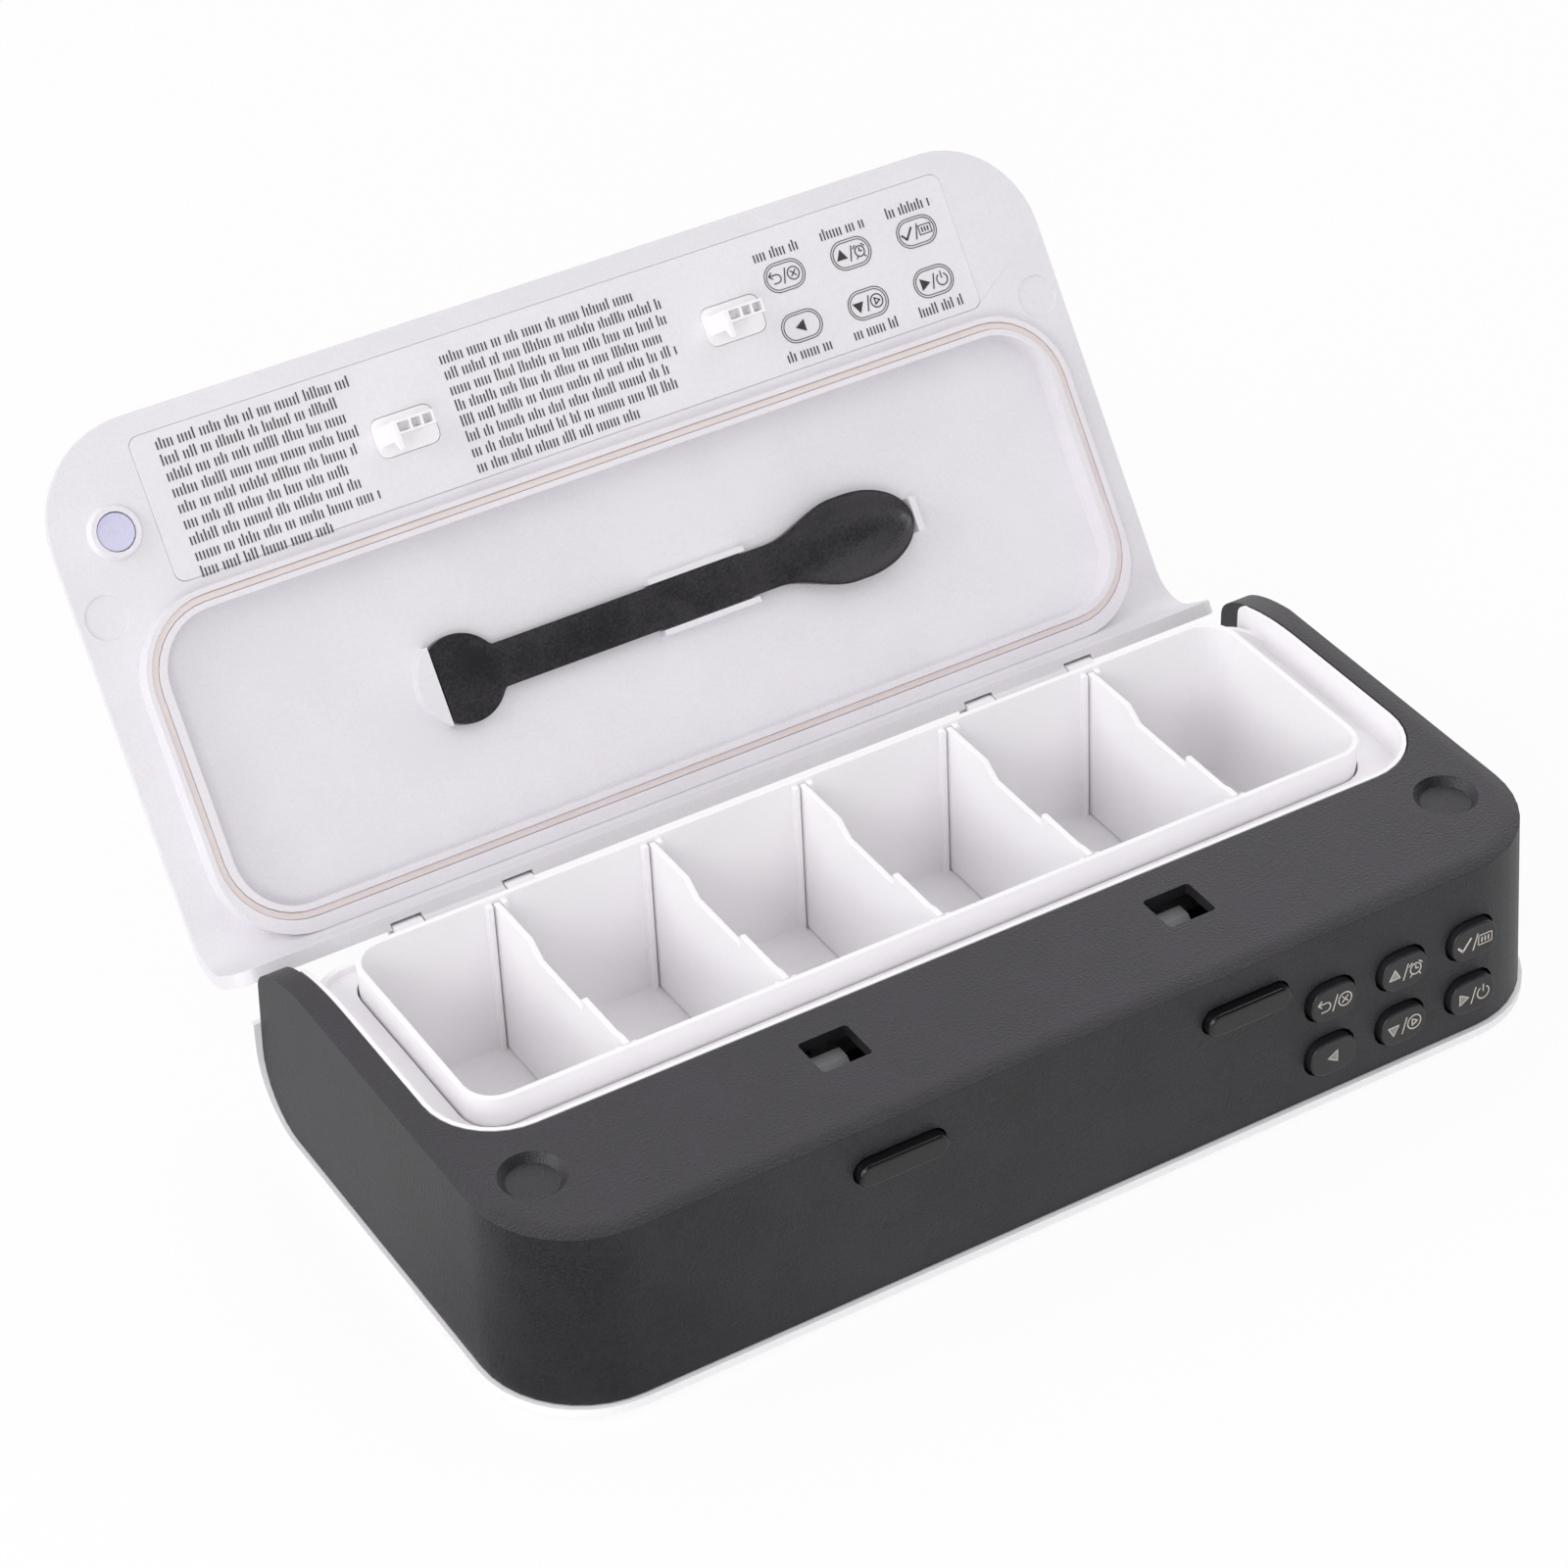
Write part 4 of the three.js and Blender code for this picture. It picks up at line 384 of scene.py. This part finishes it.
def make_spoon():
    head_end = HEAD_X + HEAD_RADIUS
    shaft_end = head_end + SHAFT_STEP * SHAFT_STEPS
    stations = [CUT_X + (head_end - CUT_X) * sine_share(i, HEAD_STEPS) for i in range(HEAD_STEPS + 1)]
    stations += [head_end + SHAFT_STEP * i for i in range(1, SHAFT_STEPS + 1)]
    stations += [shaft_end + (BOWL_X - shaft_end) * i / NECK_STEPS for i in range(1, NECK_STEPS + 1)]
    stations += [BOWL_X + BOWL_HALF_LENGTH * sine_share(i, TIP_STEPS) for i in range(1, TIP_STEPS + 1)]
    rings = [spoon_section(x) for x in stations]
    vertices = [on_lid(x, SPOON_U + v, w) for ring in rings for x, v, w in ring]
    faces = tube_faces(len(rings), len(rings[0]))
    body, slot = "stored_spoon", "charcoal_plastic"
    piece = add_piece("moulded_spoon", vertices, faces, spoon_black, body, smooth=True)
    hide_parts("spoon")
    round_edges(piece, SPOON_ROUND, SPOON_ANGLE)


make_spoon()


# Printed drawings: flat shapes a hair above a face, in millimetres across and up it.
PRINT_RISE = 0.04
PRINT_ROOT = 0.05
RING_STEPS, LEAST_STEPS = 28, 4
STROKE = 0.25


class Drawing:
    def __init__(self):
        self.shapes = []

    def fill(self, points):
        self.shapes.append(points)

    def line(self, points, width=STROKE, closed=False):
        count = len(points)
        spans = count if closed else count - 1
        for i in range(spans):
            a, b = points[i], points[(i + 1) % count]
            along = (b - a).normalized() * (width / 2)
            across = Vector((-along.y, along.x))
            a, b = a - along, b + along
            self.fill([a - across, b - across, b + across, a + across])

    def arc(self, centre, radius, start=0.0, sweep=360.0, width=STROKE):
        inner, outer = radius - width / 2, radius + width / 2
        steps = max(int(RING_STEPS * abs(sweep) / 360), LEAST_STEPS)
        angles = [math.radians(start + sweep * i / steps) for i in range(steps + 1)]
        turns = [Vector((math.cos(angle), math.sin(angle))) for angle in angles]
        for a, b in zip(turns, turns[1:]):
            self.fill([centre + a * inner, centre + a * outer, centre + b * outer, centre + b * inner])

    def place(self, name, origin, right, up, material, body, slot):
        out = right.cross(up)
        vertices, faces = [], []
        for shape in self.shapes:
            first, count = len(vertices), len(shape)
            for level in (-PRINT_ROOT, PRINT_RISE):
                for point in shape:
                    vertices.append(origin + (right * point.x + up * point.y + out * level) * MM)
            faces.append([first + k for k in range(count)][::-1])
            faces.append([first + count + k for k in range(count)])
            for k in range(count):
                following = (k + 1) % count
                faces.append([first + k, first + following, first + count + following, first + count + k])
        return add_piece(name, vertices, faces, material, body)


def polygon(*pairs, shift=0.0):
    return [Vector((x + shift, y)) for x, y in pairs]


# Signs, each drawn round (at, 0). The arrows have an outline and a fill, and the others have lines only.
FINE_STROKE, SLANT_STROKE, MIDDLE_STROKE = 0.2, 0.26, 0.28
BAR_STROKE, BROAD_STROKE = 0.3, 0.42
ARROW_OUTER, ARROW_INNER = 1.4, 1.2


def triangle(at, radius, turn):
    angles = [math.radians(turn + 120 * i) for i in range(3)]
    return [Vector((at + radius * math.cos(a), radius * math.sin(a))) for a in angles]


def arrow_sign(lines, fills, at, turn):
    fills.fill(triangle(at, ARROW_INNER, turn))
    lines.line(triangle(at, ARROW_OUTER, turn), FINE_STROKE, closed=True)


def return_sign(lines, at):
    lines.line(polygon((-1.2, 0.8), (0.5, 0.8), shift=at))
    lines.arc(Vector((at + 0.5, -0.15)), 0.95, 90, -180)
    lines.line(polygon((0.5, -1.1), (-0.5, -1.1), shift=at))
    lines.line(polygon((-0.6, 1.5), (-1.35, 0.8), (-0.6, 0.1), shift=at))


def cross_sign(lines, at):
    lines.arc(Vector((at, 0)), 1.45)
    lines.line(polygon((-0.6, -0.6), (0.6, 0.6), shift=at))
    lines.line(polygon((-0.6, 0.6), (0.6, -0.6), shift=at))


def clock_sign(lines, at):
    lines.arc(Vector((at, -0.1)), 1.2)
    lines.line(polygon((0, 0.6), (0, -0.1), (0.5, -0.1), shift=at), MIDDLE_STROKE)
    for start in (30, 115):
        lines.arc(Vector((at, -0.1)), 1.7, start, 35)
    for side in (-1, 1):
        lines.line(polygon((side * 0.85, -1.25), (side * 1.15, -1.6), shift=at))


def check_sign(lines, at):
    lines.line(polygon((-1.4, 0), (-0.4, -1.1), (1.4, 1.2), shift=at), BROAD_STROKE)


def box_sign(lines, at):
    frame_points = polygon((-1.55, -1.05), (1.55, -1.05), (1.55, 1.05), (-1.55, 1.05), shift=at)
    lines.line(frame_points, FINE_STROKE, closed=True)
    for bar in (-0.75, 0.0, 0.75):
        lines.line(polygon((bar, -0.42), (bar, 0.42), shift=at), BAR_STROKE)


def play_sign(lines, at):
    lines.arc(Vector((at, 0)), 1.5)
    lines.line(polygon((-0.45, -0.7), (0.75, 0), (-0.45, 0.7), shift=at), MIDDLE_STROKE, closed=True)


def power_sign(lines, at):
    lines.arc(Vector((at, -0.15)), 1.35, 120, 300)
    lines.line(polygon((0, 0.2), (0, 1.6), shift=at))


LEFT_SIGN, RIGHT_SIGN = -2.5, 2.25
SIGN_SLANT = polygon((-0.5, -1.6), (0.5, 1.6))
# Each key's first and second sign. A number is the turn of an arrow, in degrees.
signs_of_key = {
    "return": (return_sign, cross_sign),
    "up": (90, clock_sign),
    "ok": (check_sign, box_sign),
    "left": (180, None),
    "down": (-90, play_sign),
    "right": (0, power_sign),
}


def draw_signs(lines, fills, key):
    """A key has one arrow, or two signs with a slanted stroke between them."""
    first, second = signs_of_key[key]
    first_at = LEFT_SIGN if second else 0.0
    if callable(first):
        first(lines, first_at)
    else:
        arrow_sign(lines, fills, first_at, first)
    if second:
        lines.line(SIGN_SLANT, SLANT_STROKE)
        second(lines, RIGHT_SIGN)


# Signs on the keys' faces, which stand parallel to the leaning front wall.
WALL_SETBACK, WALL_HEIGHT = 2.15, 36.1
WALL_LEAN = math.atan(WALL_SETBACK / WALL_HEIGHT)
WALL_OUT = Vector((0, -math.cos(WALL_LEAN), math.sin(WALL_LEAN)))
WALL_UP = Vector((0, math.sin(WALL_LEAN), math.cos(WALL_LEAN)))
FACE_REACH = 0.02 * MM


def face_centre(node, out):
    """Middle of the flat face that lies furthest along out."""
    points = [vertex.co for vertex in nodes[node].data.vertices]
    level = max(point.dot(out) for point in points)
    face = [point for point in points if point.dot(out) > level - FACE_REACH]
    return Vector([(min(p[i] for p in face) + max(p[i] for p in face)) / 2 for i in range(3)])


def mark_key(key):
    node = f"key_{key}"
    lines, fills = Drawing(), Drawing()
    draw_signs(lines, fills, key)
    origin = face_centre(node, WALL_OUT)
    body = f"{key}_key"
    lines.place(f"{node}_sign", origin, ACROSS, WALL_UP, mark_line, body, "grey_plastic")
    if fills.shapes:
        fills.place(f"{node}_sign_fill", origin, ACROSS, WALL_UP, mark_fill, body, "grey_plastic")


for key_name in signs_of_key:
    mark_key(key_name)


# Use notes on the film: rows of small ticks in place of words, and a drawing of each key.
FILM_FACE = LID_FACE - swells["label_film"]
TICK_PITCH, TICK_WIDTH = 0.76, 0.28
ROW_PITCH = 3.17
TICK_HEIGHTS = (1.35, 1.35, 1.35, 1.95)
WORD_LEAST, WORD_MOST = 3, 8
NOTES_SEED = 7
# Each block of notes: its left end, its first row's foot and the length of each row.
notes = [
    {"start": -84.2, "top": 101.2, "rows": (41, 38, 38, 39, 38, 35, 36, 39, 28)},
    {"start": -24.2, "top": 99.6, "rows": (43, 48, 49, 47, 48, 45, 46, 36)},
]
KEY_COLUMNS = (51.8, 67.5, 83.2)
KEY_ROWS = (94.7, 84.1)
CAPTION_HALF = 5.2
CAPTION_SHIFTS = (4.3, -6.2)
KEY_HALF_SPAN, KEY_ROUND = 1.6, 3.0
KEY_RING_GAP, KEY_RING_STROKE = 0.5, 0.16
DRAWN_SCALE = 0.9


def tick_row(drawing, dice, start, end, height):
    x = start
    while x < end:
        word = dice.randint(WORD_LEAST, WORD_MOST)
        for _ in range(word):
            if x < end:
                tall = dice.choice(TICK_HEIGHTS)
                drawing.line([Vector((x, height)), Vector((x, height + tall))], TICK_WIDTH)
            x += TICK_PITCH
        x += TICK_PITCH


def draw_notes(drawing):
    dice = random.Random(NOTES_SEED)
    for block in notes:
        for row, length in enumerate(block["rows"]):
            end = block["start"] + length
            tick_row(drawing, dice, block["start"], end, block["top"] - row * ROW_PITCH)
    for column in KEY_COLUMNS:
        for row, shift in zip(KEY_ROWS, CAPTION_SHIFTS):
            tick_row(drawing, dice, column - CAPTION_HALF, column + CAPTION_HALF, row + shift)


def draw_keys(drawing):
    half_span = Vector((KEY_HALF_SPAN, 0))
    for i, key in enumerate(signs_of_key):
        row, column = divmod(i, len(KEY_COLUMNS))
        centre = Vector((KEY_COLUMNS[column], KEY_ROWS[row]))
        left, right = centre - half_span, centre + half_span
        for radius in (KEY_ROUND, KEY_ROUND - KEY_RING_GAP):
            drawing.arc(left, radius, 90, 180, KEY_RING_STROKE)
            drawing.arc(right, radius, -90, 180, KEY_RING_STROKE)
            for side in (radius, -radius):
                rise = Vector((0, side))
                drawing.line([left + rise, right + rise], KEY_RING_STROKE)
        small = Drawing()
        draw_signs(small, small, key)
        for shape in small.shapes:
            drawing.fill([centre + point * DRAWN_SCALE for point in shape])


def print_film():
    drawing = Drawing()
    draw_notes(drawing)
    draw_keys(drawing)
    origin = on_lid(0, 0, FILM_FACE)
    drawing.place("film_notes", origin, ACROSS, LID_UP, print_ink, "lid", "grey_plastic")


print_film()

# Floor: near white for the camera and a little greyer in reflections, with a painted dark patch by the front left
# corner that paints shade onto the case's corner in reflections. The object's shadow stays on it.
FLOOR_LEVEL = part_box("foot_front_left")[0].z
FLOOR_HALF = 6.0
FLOOR_COLOUR = (0.9, 0.9, 0.9, 1)
FLOOR_ROUGHNESS = 0.8
FLOOR_CLEAN_SHARE = 0.92
# Painted dark patch on the floor, seen only in reflections, which paints shade onto the case's front left corner.
PAINTED_DARK_PLACE = (-0.14, -0.075, 0.0)
PAINTED_DARK_REACH = 0.11
FLOOR_REFLECTED = 0.78


def seen_or_reflected(tree):
    """1 for rays from the camera, a glossy surface or a clear one, and 0 for the rest."""
    path = tree.nodes.new("ShaderNodeLightPath")
    glossy = node_of(tree, "ShaderNodeMath", operation="MAXIMUM")
    clear = node_of(tree, "ShaderNodeMath", operation="MAXIMUM")
    tree.links.new(path.outputs["Is Camera Ray"], glossy.inputs[0])
    tree.links.new(path.outputs["Is Glossy Ray"], glossy.inputs[1])
    tree.links.new(glossy.outputs[0], clear.inputs[0])
    tree.links.new(path.outputs["Is Transmission Ray"], clear.inputs[1])
    return clear.outputs[0]


def painted_dark_reflection(tree):
    """1 for the camera. For other rays FLOOR_REFLECTED, fading to 0 in a painted dark patch by the front left
    corner: a painted reflection that shades the case's corner.
    """
    place = tree.nodes.new("ShaderNodeTexCoord")
    away = node_of(tree, "ShaderNodeVectorMath", operation="DISTANCE")
    away.inputs[1].default_value = PAINTED_DARK_PLACE
    level = node_of(tree, "ShaderNodeMapRange", interpolation_type="SMOOTHSTEP")
    level.inputs["From Max"].default_value = PAINTED_DARK_REACH
    level.inputs["To Max"].default_value = FLOOR_REFLECTED
    path = tree.nodes.new("ShaderNodeLightPath")
    either = node_of(tree, "ShaderNodeMath", operation="MAXIMUM")
    tree.links.new(place.outputs["Object"], away.inputs[0])
    tree.links.new(away.outputs["Value"], level.inputs["Value"])
    tree.links.new(level.outputs["Result"], either.inputs[0])
    tree.links.new(path.outputs["Is Camera Ray"], either.inputs[1])
    return either.outputs[0]


def make_floor():
    half = FLOOR_HALF
    corners = [(-half, -half), (half, -half), (half, half), (-half, half)]
    mesh = bpy.data.meshes.new("floor")
    mesh.from_pydata([(x, y, FLOOR_LEVEL) for x, y in corners], [], [(0, 1, 2, 3)])
    floor = bpy.data.objects.new("floor", mesh)
    bpy.context.scene.collection.objects.link(floor)
    material = bpy.data.materials.new("floor")
    material.use_nodes = True
    tree = material.node_tree
    shader = tree.nodes["Principled BSDF"]
    shader.inputs["Base Color"].default_value = FLOOR_COLOUR
    shader.inputs["Roughness"].default_value = FLOOR_ROUGHNESS
    clean = node_of(tree, "ShaderNodeEmission", Color=WHITE)
    tree.links.new(painted_dark_reflection(tree), clean.inputs["Strength"])
    share = node_of(tree, "ShaderNodeMath", operation="MULTIPLY")
    share.inputs[1].default_value = FLOOR_CLEAN_SHARE
    mix = tree.nodes.new("ShaderNodeMixShader")
    output = tree.nodes["Material Output"]
    tree.links.new(seen_or_reflected(tree), share.inputs[0])
    tree.links.new(share.outputs[0], mix.inputs[0])
    tree.links.new(shader.outputs[0], mix.inputs[1])
    tree.links.new(clean.outputs[0], mix.inputs[2])
    tree.links.new(mix.outputs[0], output.inputs["Surface"])
    mesh.materials.append(material)


make_floor()

# Studio: even light, a bright surround for reflections that is dark above in front, a main lamp from the
# left, a weaker one from the front left and a thin one from above.
AMBIENT = 0.75
SURROUND_COLOUR = (0.98, 0.95, 1.0, 1)
SURROUND_BRIGHT, SURROUND_DARK = 1.6, 0.02
DARK_WAY = Vector((0.35, -0.6, 0.75))
DARK_FROM, DARK_FULL = 0.3, 0.9
KEY_LAMP = {"place": (-1.35, 0.15, 0.8), "size": (0.9, 0.9), "power": 7}
FRONT_LAMP = {"place": (-0.75, -1.1, 0.6), "size": (0.6, 0.4), "power": 3.6}
TOP_LAMP = {"place": (0.45, -0.25, 1.0), "size": (1.0, 0.12), "power": 0.8}
LAMP_TARGET = (0, 0, 0.03)


def area_light(name, place, size, power):
    data = bpy.data.lights.new(name, "AREA")
    data.shape = "RECTANGLE"
    data.size, data.size_y = size
    data.energy = power
    lamp = bpy.data.objects.new(name, data)
    bpy.context.scene.collection.objects.link(lamp)
    lamp.location = place
    aim = Vector(LAMP_TARGET) - Vector(place)
    lamp.rotation_euler = aim.to_track_quat("-Z", "Y").to_euler()


def make_world():
    world = bpy.data.worlds.new("studio")
    bpy.context.scene.world = world
    world.use_nodes = True
    tree = world.node_tree
    tree.nodes.clear()
    place = tree.nodes.new("ShaderNodeTexCoord")
    towards = node_of(tree, "ShaderNodeVectorMath", operation="DOT_PRODUCT")
    towards.inputs[1].default_value = DARK_WAY.normalized()
    level = tree.nodes.new("ShaderNodeMapRange")
    level.inputs["From Min"].default_value = DARK_FROM
    level.inputs["From Max"].default_value = DARK_FULL
    level.inputs["To Min"].default_value = SURROUND_BRIGHT
    level.inputs["To Max"].default_value = SURROUND_DARK
    studio = node_of(tree, "ShaderNodeBackground", Color=SURROUND_COLOUR)
    plain = node_of(tree, "ShaderNodeBackground", Color=WHITE, Strength=AMBIENT)
    clean = node_of(tree, "ShaderNodeBackground", Color=WHITE, Strength=1.0)
    path = tree.nodes.new("ShaderNodeLightPath")
    lit = tree.nodes.new("ShaderNodeMixShader")
    mix = tree.nodes.new("ShaderNodeMixShader")
    output = tree.nodes.new("ShaderNodeOutputWorld")
    tree.links.new(place.outputs["Generated"], towards.inputs[0])
    tree.links.new(towards.outputs["Value"], level.inputs["Value"])
    tree.links.new(level.outputs["Result"], studio.inputs["Strength"])
    tree.links.new(path.outputs["Is Glossy Ray"], lit.inputs[0])
    tree.links.new(plain.outputs[0], lit.inputs[1])
    tree.links.new(studio.outputs[0], lit.inputs[2])
    tree.links.new(path.outputs["Is Camera Ray"], mix.inputs[0])
    tree.links.new(lit.outputs[0], mix.inputs[1])
    tree.links.new(clean.outputs[0], mix.inputs[2])
    tree.links.new(mix.outputs[0], output.inputs["Surface"])


make_world()
area_light("key_lamp", **KEY_LAMP)
area_light("front_lamp", **FRONT_LAMP)
area_light("top_lamp", **TOP_LAMP)
